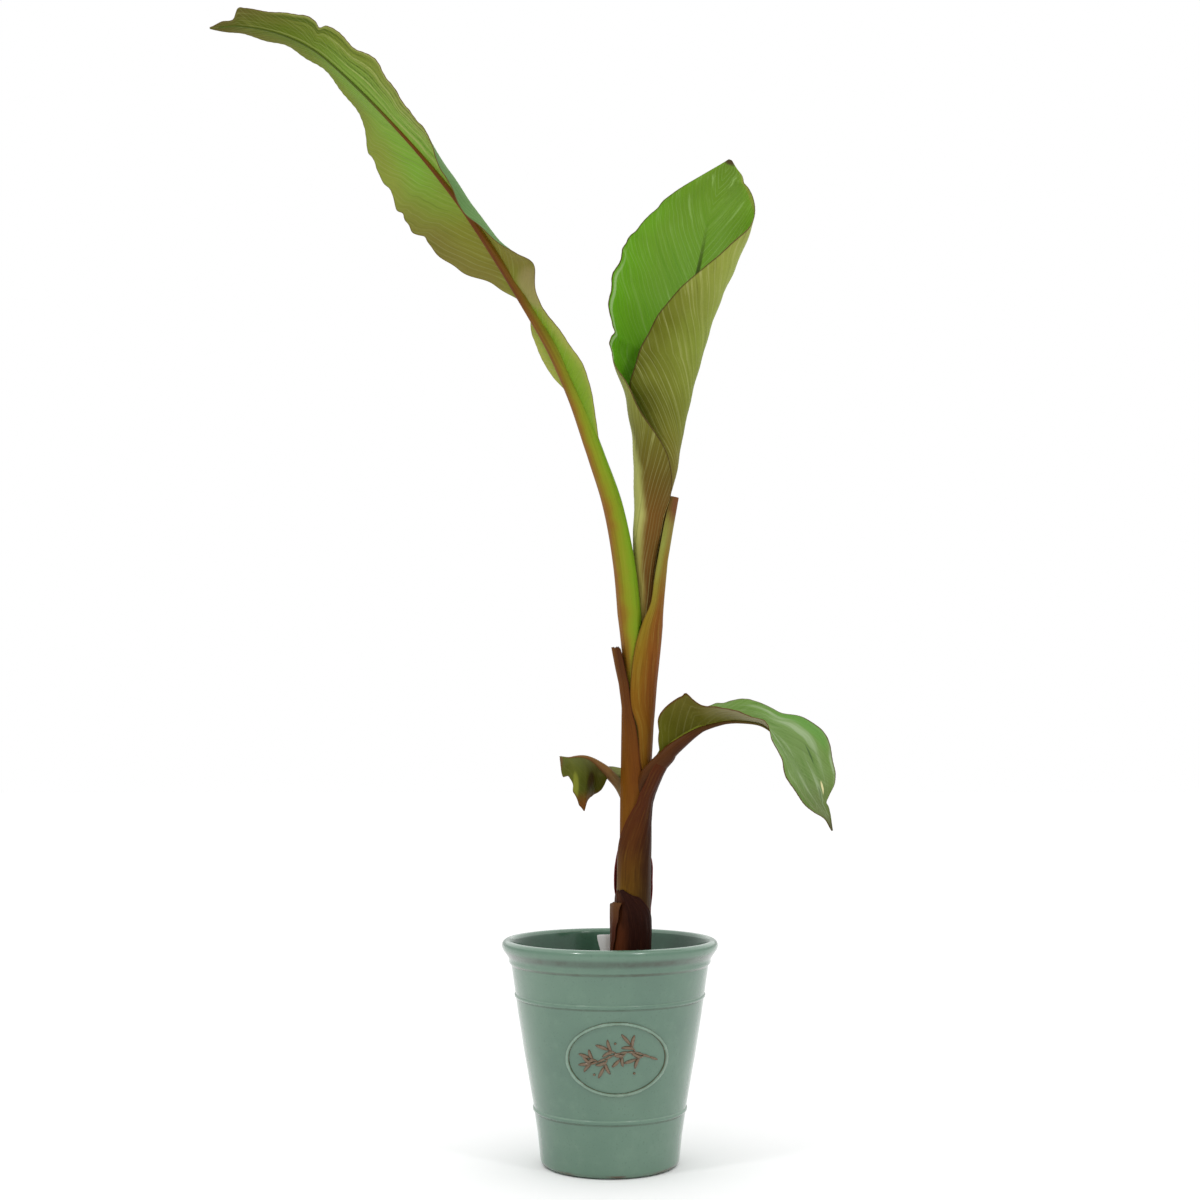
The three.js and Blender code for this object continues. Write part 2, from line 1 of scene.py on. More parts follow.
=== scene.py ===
import math
import bpy
import numpy as np
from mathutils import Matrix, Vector


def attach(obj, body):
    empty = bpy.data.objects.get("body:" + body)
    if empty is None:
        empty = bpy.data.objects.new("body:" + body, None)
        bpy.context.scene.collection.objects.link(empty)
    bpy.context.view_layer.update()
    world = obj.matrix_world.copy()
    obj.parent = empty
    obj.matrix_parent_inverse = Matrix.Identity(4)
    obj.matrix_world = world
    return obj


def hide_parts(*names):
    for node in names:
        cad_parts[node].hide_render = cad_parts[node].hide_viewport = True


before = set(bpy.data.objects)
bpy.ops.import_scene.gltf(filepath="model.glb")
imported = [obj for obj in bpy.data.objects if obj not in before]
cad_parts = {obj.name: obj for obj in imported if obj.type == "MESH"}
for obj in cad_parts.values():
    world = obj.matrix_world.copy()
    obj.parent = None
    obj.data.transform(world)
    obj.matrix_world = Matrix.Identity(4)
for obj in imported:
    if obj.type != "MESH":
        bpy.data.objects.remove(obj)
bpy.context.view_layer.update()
mm = 0.001
print("frame loaded:", len(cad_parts), "nodes")


# camera where the photo was taken from
viewPoint = {"place": (-0.011, -1.825, 0.440), "tiltUp": 5.67, "focalPixels": 1612, "imageWidth": 1200, "sensor": 36,
    "clipEnd": 50}
bpy.ops.object.camera_add(location=viewPoint["place"], rotation=(math.radians(90 + viewPoint["tiltUp"]), 0, 0))
camera = bpy.context.object
camera.data.sensor_width = viewPoint["sensor"]
camera.data.lens = viewPoint["focalPixels"] / viewPoint["imageWidth"] * viewPoint["sensor"]
camera.data.clip_end = viewPoint["clipEnd"]
bpy.context.scene.camera = camera
bpy.context.scene.view_settings.view_transform = "Standard"
print("camera placed")


# curves through a few sizes
def splineAt(keys, places):
    keys = np.asarray(keys, float)
    t, v = keys[:, 0], keys[:, 1:]
    slope = np.zeros_like(v)
    slope[1:-1] = (v[2:] - v[:-2]) / (t[2:] - t[:-2])[:, None]
    slope[0] = (v[1] - v[0]) / (t[1] - t[0])
    slope[-1] = (v[-1] - v[-2]) / (t[-1] - t[-2])
    s = np.clip(np.asarray(places, float), t[0], t[-1])
    i = np.clip(np.searchsorted(t, s, side="right") - 1, 0, len(t) - 2)
    gap = (t[i + 1] - t[i])[:, None]
    x = ((s - t[i]) / (t[i + 1] - t[i]))[:, None]
    rise = 3 * x**2 - 2 * x**3
    leave = (x**3 - 2 * x**2 + x) * gap * slope[i]
    arrive = (x**3 - x**2) * gap * slope[i + 1]
    return (1 - rise) * v[i] + rise * v[i + 1] + leave + arrive


def sizeAt(keys, places):  # straight lines between pairs of place and size
    return np.interp(places, *zip(*keys))


def unit(a):
    return a / np.linalg.norm(a, axis=-1, keepdims=True)


def squareTo(face, tangent):
    return unit(face - np.sum(face * tangent, 1, keepdims=True) * tangent)


def runAlong(points):
    return np.concatenate([[0], np.cumsum(np.linalg.norm(np.diff(points, axis=0), axis=1))])


def chordKeys(points, before=()):  # points before the first one get negative places
    points = np.asarray(points, float)
    run = runAlong(points)
    keys = np.column_stack([run / run[-1], points])
    if len(before):
        early = np.vstack([np.asarray(before, float), points[:1]])
        back = np.cumsum(np.linalg.norm(np.diff(early, axis=0), axis=1)[::-1])[::-1] / run[-1]
        keys = np.vstack([np.column_stack([-back, early[:-1]]), keys])
    return keys, run[-1]


def lineAt(keys, s):
    step = 0.001
    point = splineAt(keys, s)
    tangent = unit(splineAt(keys, s + step) - splineAt(keys, s - step))
    return point, tangent


def ease(value, low, high):
    x = np.clip((value - low) / (high - low), 0, 1)
    return x * x * (3 - 2 * x)


# mesh making
def deselectAll():
    if bpy.context.object and bpy.context.object.mode != "OBJECT":
        bpy.ops.object.mode_set(mode="OBJECT")
    bpy.ops.object.select_all(action="DESELECT")


def pick(piece):
    deselectAll()
    piece.select_set(True)
    bpy.context.view_layer.objects.active = piece


def gridPiece(name, points):  # grid primitive whose corners are then put in place
    rows, columns = points.shape[:2]
    deselectAll()
    bpy.ops.mesh.primitive_grid_add(x_subdivisions=columns - 1, y_subdivisions=rows - 1, size=1)
    piece = bpy.context.object
    piece.name = piece.data.name = name
    piece.data.vertices.foreach_set("co", (points * mm).ravel())
    piece.data.update()
    return piece


def cornersOf(piece):
    corners = np.zeros(len(piece.data.vertices) * 3)
    piece.data.vertices.foreach_get("co", corners)
    return corners.reshape(-1, 3)


def markPoints(piece, layers):
    for layerName, values in layers.items():
        layer = piece.data.attributes.new(layerName, "FLOAT", "POINT")
        layer.data.foreach_set("value", np.asarray(values, np.float32).ravel())


def closeEdit():  # every face is turned to look outwards
    bpy.ops.mesh.select_all(action="SELECT")
    bpy.ops.mesh.normals_make_consistent(inside=False)
    bpy.ops.object.mode_set(mode="OBJECT")


weldDistance = 0.000002


def tubePiece(name, rings, layers=None):  # rings are closed by a seam that is merged
    wrap = lambda values: np.concatenate([values, values[:, :1]], axis=1)
    piece = gridPiece(name, wrap(rings))
    markPoints(piece, {key: wrap(values) for key, values in (layers or {}).items()})
    bpy.ops.object.mode_set(mode="EDIT")
    bpy.ops.mesh.select_all(action="SELECT")
    bpy.ops.mesh.remove_doubles(threshold=weldDistance)
    bpy.ops.mesh.fill_holes(sides=0)
    closeEdit()
    return piece


def applyModifier(piece, kind, **settings):
    pick(piece)
    modifier = piece.modifiers.new(kind.lower(), kind)
    for key, value in settings.items():
        setattr(modifier, key, value)
    bpy.ops.object.modifier_apply(modifier=modifier.name)


def finishPiece(piece, nodes, materials, smoothAngle=50):
    pick(piece)
    bpy.ops.object.shade_smooth_by_angle(angle=math.radians(smoothAngle))
    for material in materials:
        piece.data.materials.append(material)
    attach(piece, "root")
    if nodes:
        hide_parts(*nodes)
    print("made", piece.name, len(piece.data.polygons), "faces")


# shader making
def paint(hexCode):
    parts = [int(hexCode[i:i + 2], 16) / 255 for i in (1, 3, 5)]
    return tuple(c / 12.92 if c <= 0.04045 else ((c + 0.055) / 1.055) ** 2.4 for c in parts) + (1,)


def startFinish(name):
    material = bpy.data.materials.new(name)
    material.use_nodes = True
    tree = material.node_tree
    tree.nodes.clear()
    output = tree.nodes.new("ShaderNodeOutputMaterial")
    shader = tree.nodes.new("ShaderNodeBsdfPrincipled")
    tree.links.new(shader.outputs["BSDF"], output.inputs["Surface"])
    return material, tree, shader


def addNode(tree, kind, values=None, **settings):
    node = tree.nodes.new(kind)
    for key, value in settings.items():
        setattr(node, key, value)
    for key, value in (values or {}).items():
        if isinstance(value, bpy.types.NodeSocket):
            tree.links.new(value, node.inputs[key])
        else:
            node.inputs[key].default_value = value
    return node


def sums(tree, operation, a, b=0.0):
    return addNode(tree, "ShaderNodeMath", {0: a, 1: b}, operation=operation).outputs[0]


def times(tree, a, b):
    return sums(tree, "MULTIPLY", a, b)


def shifted(tree, value, by, share):
    return sums(tree, "ADD", value, times(tree, by, share))


def swing(tree, value, share):  # noise made to swing either side of nothing
    return times(tree, sums(tree, "SUBTRACT", value, 0.5), share)


def span(tree, value, low, high, start=0.0, end=1.0):
    node = addNode(tree, "ShaderNodeMapRange", {"Value": value, "From Min": low, "From Max": high,
                                                "To Min": start, "To Max": end}, interpolation_type="SMOOTHSTEP")
    return node.outputs["Result"]


def ramp(tree, factor, stops):
    node = addNode(tree, "ShaderNodeValToRGB", {"Fac": factor})
    marks = node.color_ramp.elements
    while len(marks) < len(stops):
        marks.new(1.0)
    for mark, (place, hexCode) in zip(marks, stops):
        mark.position = place
        mark.color = paint(hexCode)
    return node.outputs["Color"]


def blendColour(tree, factor, first, second):
    node = addNode(tree, "ShaderNodeMix", {"Factor": factor}, data_type="RGBA")
    for socket, value in ((node.inputs[6], first), (node.inputs[7], second)):
        if isinstance(value, str):
            socket.default_value = paint(value)
        else:
            tree.links.new(value, socket)
    return node.outputs[2]


def tinted(tree, colour, tint, value, low, high, share=1.0):
    return blendColour(tree, span(tree, value, low, high, 0, share), colour, tint)


def noise(tree, vector, scale, detail=3.0, roughness=0.5):
    return addNode(tree, "ShaderNodeTexNoise", {"Vector": vector, "Scale": scale, "Detail": detail,
                                                "Roughness": roughness}).outputs[0]


def layerValue(tree, layerName):
    return addNode(tree, "ShaderNodeAttribute", attribute_name=layerName).outputs["Fac"]


def stretched(tree, x, xScale, y, yScale):
    return addNode(tree, "ShaderNodeCombineXYZ", {0: times(tree, x, xScale), 1: times(tree, y, yScale)}).outputs[0]


def objectPlace(tree):
    return addNode(tree, "ShaderNodeTexCoord").outputs["Object"]


def heightOf(tree, place):
    return addNode(tree, "ShaderNodeSeparateXYZ", {0: place}).outputs[2]


def ridges(tree, run, pitch):
    return sums(tree, "SINE", times(tree, run, 2 * math.pi / (pitch * mm)))


shaderSockets = {"gloss": "Specular IOR Level", "coat": "Coat Weight", "coatRough": "Coat Roughness"}


def endFinish(tree, shader, colour, rough, height, strength, distance, **uniform):
    tree.links.new(colour, shader.inputs["Base Color"])
    tree.links.new(rough, shader.inputs["Roughness"])
    for key, value in uniform.items():  # the same all over, so set on the shader itself
        shader.inputs[shaderSockets[key]].default_value = value
    bump = addNode(tree, "ShaderNodeBump", {"Height": height, "Strength": strength, "Distance": distance})
    tree.links.new(bump.outputs["Normal"], shader.inputs["Normal"])


# numbers that the skins of all leaves, stalks and sheaths share
skinRules = {"speckScale": 900, "speckShare": 0.12, "veinPower": 9.0, "streakRun": 1.3, "halfFade": -0.12, "foldRun": 3.0,
    "foldFade": 0.12, "foldSideFade": 0.15, "lineFade": 0.2, "stalkGloss": 0.1, "sheathGloss": 0.06, "leafRelief": 0.0005,
    "stalkRelief": 0.0006, "sheathRelief": 0.0007}


# leaf skin: colour along the rib and out to the margin, veins that sweep forward
def leafFinish(name, look):
    material, tree, shader = startFinish(name)
    along, side, run = (layerValue(tree, layerName) for layerName in ("along", "across", "veinRun"))
    across = sums(tree, "ABSOLUTE", side)
    place = objectPlace(tree)
    drift = swing(tree, noise(tree, place, look["patchScale"]), look["patchShare"])
    edge = span(tree, sums(tree, "ADD", across, drift), look["edgeFrom"], look["edgeTo"])
    alongDrift = shifted(tree, along, drift, 0.25)
    colour = blendColour(tree, edge, ramp(tree, alongDrift, look["ribRamp"]), ramp(tree, alongDrift, look["edgeRamp"]))
    if "otherHalf" in look:  # a leaf whose two halves have aged apart
        half = look["otherHalf"]
        low = sums(tree, "ADD", along, 0.5)
        turned = span(tree, shifted(tree, side, drift, 0.3), half["from"], half["to"])
        other = blendColour(tree, turned, ramp(tree, low, half["near"]), ramp(tree, low, half["far"]))
        colour = tinted(tree, colour, other, side, 0.0, skinRules["halfFade"])
    # pale and dark streaks along the folds: painted highlight and painted shade on the pleats
    if "folds" in look:
        fold = noise(tree, stretched(tree, side, look["folds"], along, skinRules["foldRun"]), 1.0, 3, 0.55)
        reach = times(tree, span(tree, along, look["foldFrom"], look["foldFrom"] + skinRules["foldFade"]),
                      span(tree, side, look["foldSide"], look["foldSide"] - skinRules["foldSideFade"]))
        for tint, low, high in ((look["foldHighlight"], 0.5, 0.68), (look["foldShade"], 0.48, 0.33)):
            colour = blendColour(tree, times(tree, reach, span(tree, fold, low, high, 0, look["foldShare"])), colour, tint)
    if "lowBand" in look:  # browned towards the drooping tip
        high, low, tint = look["lowBand"]
        colour = tinted(tree, colour, tint, shifted(tree, heightOf(tree, place), drift, 0.02), high, low, 0.9)
    streakPlace = stretched(tree, run, look["streaks"], across, skinRules["streakRun"])
    streak = noise(tree, streakPlace, 1.0, 4, 0.62)
    colour = tinted(tree, colour, look["pale"], streak, 0.52, 0.78, look["paleShare"])
    colour = tinted(tree, colour, look["deep"], streak, 0.48, 0.22, look["deepShare"])
    crest = sums(tree, "MAXIMUM", ridges(tree, run, look["veinPitch"]), 0.0)
    vein = sums(tree, "POWER", crest, skinRules["veinPower"])
    veinMask = times(tree, vein, span(tree, noise(tree, streakPlace, 0.35, 2), 0.35, 0.65, 0.25, 1.0))
    colour = blendColour(tree, times(tree, veinMask, look["veinShare"]), colour, look["veinColour"])
    if "ribLine" in look:
        tint, width, end = look["ribLine"]
        line = times(tree, span(tree, across, width, width * 0.4), span(tree, along, end, end - skinRules["lineFade"]))
        colour = blendColour(tree, line, colour, tint)
    for spotAlong, spotAcross, length, breadth, share, tint in look.get("spots", ()):
        parts = []
        for value, middle, reach in ((along, spotAlong, length), (side, spotAcross, breadth)):
            offset = sums(tree, "DIVIDE", sums(tree, "SUBTRACT", value, middle), reach)
            parts.append(sums(tree, "POWER", sums(tree, "ABSOLUTE", offset), 2.0))
        colour = tinted(tree, colour, tint, sums(tree, "ADD", *parts), 1.5, 0.3, share)
    margin = span(tree, across, look["marginFrom"], 1.0)
    colour = blendColour(tree, times(tree, margin, look["marginShare"]), colour, look["marginColour"])
    speck = noise(tree, place, skinRules["speckScale"], 2)
    colour = tinted(tree, colour, look["deep"], speck, 0.6, 0.8, skinRules["speckShare"])
    rough = span(tree, streak, 0.2, 0.8, look["rough"] - 0.06, look["rough"] + 0.08)
    fine = times(tree, ridges(tree, run, look["finePitch"]), 0.25)
    height = sums(tree, "ADD", fine, shifted(tree, vein, streak, 0.8))
    endFinish(tree, shader, colour, rough, height, look["bump"], skinRules["leafRelief"], gloss=look["gloss"])
    return material


# stalk skin: colour round the stalk, low and high, with long fibres
def stalkFinish(name, look):
    material, tree, shader = startFinish(name)
    uv = addNode(tree, "ShaderNodeTexCoord").outputs["UV"]
    turn, along = addNode(tree, "ShaderNodeSeparateXYZ", {0: uv}).outputs[:2]
    place = objectPlace(tree)
    wander = swing(tree, noise(tree, place, 24, 4), 0.24)
    turned = sums(tree, "ADD", turn, wander)
    change = span(tree, sums(tree, "ADD", along, wander), look["changeFrom"], look["changeTo"])
    colour = blendColour(tree, change, ramp(tree, turned, look["lowRamp"]), ramp(tree, turned, look["highRamp"]))
    if "tip" in look:
        tipFrom, tipTo, tint = look["tip"]
        colour = tinted(tree, colour, tint, along, tipFrom, tipTo)
    fibre = noise(tree, stretched(tree, turn, look["fibres"], along, look["fibreLength"]), 1, 4, 0.6)
    fleck = noise(tree, place, 420, 3, 0.7)
    colour = tinted(tree, colour, look["pale"], fibre, 0.5, 0.8, 0.35)
    colour = tinted(tree, colour, look["deep"], fibre, 0.5, 0.2, 0.4)
    colour = tinted(tree, colour, look["deep"], fleck, 0.62, 0.74, 0.25)
    rough = span(tree, fibre, 0.2, 0.8, look["rough"] - 0.08, look["rough"] + 0.1)
    endFinish(tree, shader, colour, rough, shifted(tree, fibre, fleck, 0.15), look["bump"], skinRules["stalkRelief"],
              gloss=skinRules["stalkGloss"])
    return material


# sheath skin: colour up the sheath, a second colour towards one side (painted shade on the dark stalk and the stumps),
# another inside, coloured margins
def sheathFinish(name, look):
    material, tree, shader = startFinish(name)
    along, around, inside = (layerValue(tree, layerName) for layerName in ("along", "around", "inside"))
    place = objectPlace(tree)
    wander = swing(tree, noise(tree, place, 22), 0.2)
    up = sums(tree, "ADD", along, wander)
    # towards the side colour, which on the dark stalk and the stumps is painted shade on their right-hand side
    toSide = span(tree, sums(tree, "ADD", around, wander), look["sideFrom"], look["sideTo"])
    colour = blendColour(tree, toSide, ramp(tree, up, look["ramp"]), ramp(tree, up, look["sideRamp"]))
    fibre = noise(tree, stretched(tree, around, look["fibres"], along, look["fibreLength"]), 1, 5, 0.62)
    fleck = noise(tree, place, 380, 3, 0.7)
    fromMargin = sums(tree, "ABSOLUTE", sums(tree, "SUBTRACT", times(tree, around, 2.0), 1.0))
    colour = tinted(tree, colour, look["pale"], fibre, 0.5, 0.78, 0.4)
    colour = tinted(tree, colour, look["deep"], fibre, 0.5, 0.24, 0.5)
    colour = tinted(tree, colour, look["marginColour"], fromMargin, look["marginFrom"], 1.0, look["marginShare"])
    colour = tinted(tree, colour, look["insideColour"], inside, 0.3, 0.7)
    colour = tinted(tree, colour, look["deep"], fleck, 0.6, 0.74, 0.3)
    rough = span(tree, fibre, 0.2, 0.8, look["rough"] - 0.1, look["rough"] + 0.1)
    endFinish(tree, shader, colour, rough, shifted(tree, fibre, fleck, 0.2), look["bump"], skinRules["sheathRelief"],
              gloss=skinRules["sheathGloss"])
    return material


# leaf shape: a rib, the way its upper face looks, and two halves that rise by angles
bladeRules = {"leastWidth": 0.7, "rippleWidth": 30, "pleatWidth": 40, "smoothShare": 8}


def leafSheet(leaf):
    rows, half = leaf["grid"]
    keys, length = chordKeys(leaf["rib"], leaf.get("rootRib", ()))
    s = np.linspace(keys[0, 0], 1, rows)
    down = s[:, None]
    rib, tangent = lineAt(keys, s)
    face = squareTo(splineAt(leaf["face"], s), tangent)
    q = np.arange(half + 1)[None, :] / half
    scallop, ripple, pleat = leaf["scallop"], leaf["ripple"], leaf["pleat"]
    reach = rows // bladeRules["smoothShare"]
    sheets, runs = [], []
    for sideName in ("left", "right"):
        out = np.cross(face, tangent) if sideName == "left" else np.cross(tangent, face)
        sizes = splineAt(leaf[sideName], s)
        width = np.maximum(sizes[:, 0], bladeRules["leastWidth"])
        veinWidth = np.convolve(np.pad(width, reach, mode="edge"), np.ones(reach) / reach, mode="same")[reach:-reach]
        for place, swell, spread in leaf.get(sideName + "Lobes", ()):
            width = width + swell * np.exp(-((s - place) / spread) ** 2)
        wavy = 1 + scallop["share"] * np.sin(s * scallop["count"] * 2 * math.pi + len(sideName))
        width = np.maximum(width, bladeRules["leastWidth"]) * wavy
        wide = width[:, None]
        root, middle, margin = (np.radians(sizes[:, k])[:, None] for k in (1, 2, 3))
        angleAt = lambda q: root * (1 - q) * (1 - 2 * q) + middle * 4 * q * (1 - q) + margin * q * (2 * q - 1)
        steps = angleAt((np.arange(half) + 0.5)[None, :] / half)
        zero = np.zeros((rows, 1))
        acrossRun = np.concatenate([zero, np.cumsum(np.cos(steps) * wide / half, 1)], 1)
        upRun = np.concatenate([zero, np.cumsum(np.sin(steps) * wide / half, 1)], 1)
        run = down * length - q * veinWidth[:, None] * sizeAt(leaf["sweep"], s)[:, None]
        wave = ripple["height"] * q**3 * np.sin(down * ripple["count"] * 2 * math.pi + ripple["phase"] * len(sideName))
        wave = wave * ease(down, ripple["from"], ripple["from"] + 0.1) * np.clip(wide / bladeRules["rippleWidth"], 0, 1)
        fold = pleat["depth"] * np.sin(run * 2 * math.pi / pleat["pitch"]) * ease(q, 0.1, 0.4)
        lift = wave + fold * np.clip(wide / bladeRules["pleatWidth"], 0, 1)
        angle = angleAt(q)
        aside = acrossRun - lift * np.sin(angle)
        up = upRun + lift * np.cos(angle)
        slant = sizeAt(leaf.get("slant", [(0, 0)]), s)[:, None] * wide * q
        sheets.append(rib[:, None] + aside[..., None] * out[:, None] + up[..., None] * face[:, None]
                      - slant[..., None] * tangent[:, None])
        runs.append(run)
    share = np.repeat(q, rows, 0)
    join = lambda left, right: np.concatenate([left[:, :0:-1], right], axis=1)
    layers = {"veinRun": join(*runs) * mm, "across": join(-share, share),
              "along": np.repeat(np.clip(s, leaf.get("alongFloor", 0), 1)[:, None], 2 * half + 1, 1)}
    return join(*sheets), layers


def leafPiece(name, leaf, nodes, skinName, upperLook, underLook):
    points, layers = leafSheet(leaf)
    piece = gridPiece(name, points)
    markPoints(piece, layers)
    for material in (leafFinish(skinName + "Upper", upperLook), leafFinish(skinName + "Under", underLook), marginSkin):
        piece.data.materials.append(material)
    applyModifier(piece, "SOLIDIFY", thickness=leaf["blade"] * mm, offset=0, material_offset=1, material_offset_rim=2)
    finishPiece(piece, nodes, (), 60)


# stalk shape: a grooved rod
rodRelief = {"grooveReach": 0.62, "ribDepth": 0.012, "ribs": 9, "twistDepth": 0.01, "twists": 5, "twistRun": 9,
    "bladeShare": 0.3}


def rodPiece(name, centres, radii, faces, rod, nodes, slotName, skinName, look):
    t = runAlong(centres)
    t = t / t[-1]
    s = np.linspace(0, 1, rod["rows"])
    point, tangent = lineAt(np.column_stack([t, centres]), s)
    face = squareTo(splineAt(np.column_stack([t, faces]), s), tangent)
    side = np.cross(tangent, face)
    turn = np.arange(rod["columns"])[None, :] / rod["columns"] * 2 * math.pi
    fromFace = np.abs((turn + math.pi) % (2 * math.pi) - math.pi)
    shape = 1 - sizeAt(rod["groove"], s)[:, None] * np.exp(-((fromFace / rodRelief["grooveReach"]) ** 2))
    shape = shape + rodRelief["ribDepth"] * np.sin(turn * rodRelief["ribs"])
    shape = shape + rodRelief["twistDepth"] * np.sin(turn * rodRelief["twists"] + s[:, None] * rodRelief["twistRun"])
    ring = (np.interp(s, t, radii)[:, None] * shape)[..., None]
    rings = point[:, None] + ring * (np.cos(turn)[..., None] * face[:, None] + np.sin(turn)[..., None] * side[:, None])
    finishPiece(tubePiece(name, rings), nodes, [stalkFinish(skinName, look)])


def stalkPiece(name, leaf, stalk, *others):  # a low part in the open, then the keel under the blade
    places = np.linspace(*stalk["places"])
    keys = chordKeys(leaf["rib"], leaf.get("rootRib", ()))[0]
    rib, tangent = lineAt(keys, places)
    face = squareTo(splineAt(leaf["face"], places), tangent)
    radius = sizeAt(stalk["keel"], places)
    sunk = radius * sizeAt(leaf["keelDepth"], places) - leaf["blade"] * rodRelief["bladeShare"]
    low = np.array([k[0] for k in stalk["low"]], float).reshape(-1, 3)
    centres = np.vstack([low, rib - face * sunk[:, None]])
    radii = np.concatenate([[k[1] for k in stalk["low"]], radius])
    rodPiece(name, centres, radii, np.vstack([np.tile(stalk["face"], (len(low), 1)), face]), stalk, *others)


# stem
stemLine = [(200, 23), (300, 26.8), (400, 28.2), (515, 33.2), (600, 35)]


def onStem(height):
    return (float(sizeAt(stemLine, height)), 0, height)


# sheath shape: a shell round part of the stem, thinner at its margins, torn at its top
leastWall = 0.4


def sheathPiece(name, spec, nodes, skinName, look):
    middles = np.array([onStem(k[0]) if np.isscalar(k[0]) else k[0] for k in spec["stations"]], float)
    sizes = np.array([k[1:] for k in spec["stations"]], float)
    keys = chordKeys(middles)[0]
    t = keys[:, 0]
    s = np.linspace(0, 1, spec["rows"])
    down = s[:, None]
    straight = np.column_stack([np.interp(s, t, keys[:, k]) for k in (1, 2, 3)])
    smooth, tangent = lineAt(keys, s)
    onIt = np.interp(s, t, (np.abs(middles[:, 1]) < 1e-6).astype(float))[:, None]  # 1 where it hugs the stem
    point = straight * onIt + smooth * (1 - onIt)
    tangent = unit(tangent * (1 - onIt) + np.array([0, 0, 1.0]) * onIt)
    right = unit(np.array([1.0, 0, 0]) - tangent[:, :1] * tangent)
    away = np.cross(tangent, right)
    inner, outer = (np.interp(s, t, sizes[:, k])[:, None] for k in (0, 1))
    first, last = (np.radians(splineAt(np.column_stack([t, sizes[:, k]]), s)[:, 0]) for k in (2, 3))
    q = np.linspace(0, 1, spec["columns"])[None, :]
    wobble = spec["edgeWave"] * np.sin(s * spec["edgeCount"] * 2 * math.pi + 1.3)
    angle = (first + np.radians(wobble))[:, None] + (last - first)[:, None] * q
    edge = np.clip(1 - np.abs(2 * q - 1) ** spec["thin"], 0, 1)
    wall = (outer - inner) * (spec["lip"] + (1 - spec["lip"]) * edge)
    ribs = spec["ribDepth"] * np.sin(q * spec["ribs"] * 2 * math.pi + 0.6 * np.sin(down * 7)) * edge
    bulge = spec["bulge"] * np.sin(down * 11 + 2) * np.sin(q * 4 + down * 5)
    outside = outer + ribs + bulge * edge
    inside = outside - np.maximum(wall, leastWall)
    drop = sizeAt(spec["ragged"], q[0]) + spec["torn"] * np.sin(q[0] * 57) * np.sin(q[0] * 23 + 1)
    near = ease(s, 1 - spec["raggedReach"], 1)[:, None] ** 2
    sink = (near * drop[None, :])[..., None] * tangent[:, None]
    outwards = np.cos(angle)[..., None] * right[:, None] + np.sin(angle)[..., None] * away[:, None]
    shell = lambda radius: point[:, None] + radius[..., None] * outwards - sink
    there = lambda values, back: np.concatenate([values, back[:, ::-1]], axis=1)
    around = np.repeat(q, len(s), 0)
    layers = {"around": there(around, around), "along": np.repeat(down, 2 * q.shape[1], 1),
              "inside": there(np.zeros_like(around), np.ones_like(around))}
    piece = tubePiece(name, there(shell(outside), shell(inside)), layers)
    finishPiece(piece, nodes, [sheathFinish(skinName, look)], 45)


# glazed pot: a disc drawn up ring by ring, out to the lip and down the inside
pot = {"sides": 144, "plainRings": (20, 50, 90, 145, 175, 190), "ridgeSteps": 13, "ridgeCurve": 0.7, "insideTop": 237.5,
    "foot": [(70.5, 0), (73.4, 0.6), (75.4, 2.2), (76.3, 4.6)],
    "wall": [(7, 76.6), (34, 79.6), (66.6, 84.8), (120.6, 94.7), (164, 101.9), (199, 107), (213, 109.2)],
    "ridges": [(59.6, 1.4, 2.4), (181.6, 1.4, 2.4)],
    "neck": [(109.3, 214.2), (109.9, 215.2), (111.2, 216.4), (111.9, 218), (112, 219.8), (112, 221.2)],
    "lip": [(112.7, 222.8), (114, 225), (116.2, 228), (118.4, 231), (119.6, 233.6), (120, 236), (119.6, 238.2),
        (118.5, 240), (117, 241.2), (115.2, 241.9), (113.6, 242), (112, 241.6), (110.6, 240.4), (109.4, 238.4),
        (108.4, 236), (107.4, 232.6)],
    "inside": [(106, 226), (103.6, 214), (100.5, 200), (92, 150), (82, 90), (72, 30), (70, 20), (66, 12), (58, 9)]}


def wallRadius(height):
    return sizeAt(pot["wall"], height)


def potProfile():
    wall = [(r, z) for z, r in pot["wall"]] + [(float(wallRadius(z)), z) for z in pot["plainRings"]]
    for height, rise, half in pot["ridges"]:
        for share in np.linspace(-1, 1, pot["ridgeSteps"]):
            z = height + half * share
            wall.append((float(wallRadius(z) + rise * (1 - share**2) ** pot["ridgeCurve"]), z))
    return pot["foot"] + sorted(wall, key=lambda ring: ring[1]) + pot["neck"] + pot["lip"] + pot["inside"]


def drawPot():
    profile = potProfile()
    deselectAll()
    radius, height = profile[0]
    bpy.ops.mesh.primitive_circle_add(vertices=pot["sides"], radius=radius * mm, fill_type="NGON",
                                      location=(0, 0, height * mm))
    piece = bpy.context.object
    piece.name = piece.data.name = "glazedPot"
    bpy.ops.object.mode_set(mode="EDIT")
    bpy.ops.mesh.select_all(action="SELECT")
    for nextRadius, nextHeight in profile[1:]:
        bpy.ops.mesh.extrude_region_move(TRANSFORM_OT_translate={"value": (0, 0, (nextHeight - height) * mm)})
        grow = nextRadius / radius
        bpy.ops.transform.resize(value=(grow, grow, 1), center_override=(0, 0, nextHeight * mm))
        radius, height = nextRadius, nextHeight
    closeEdit()
    return piece


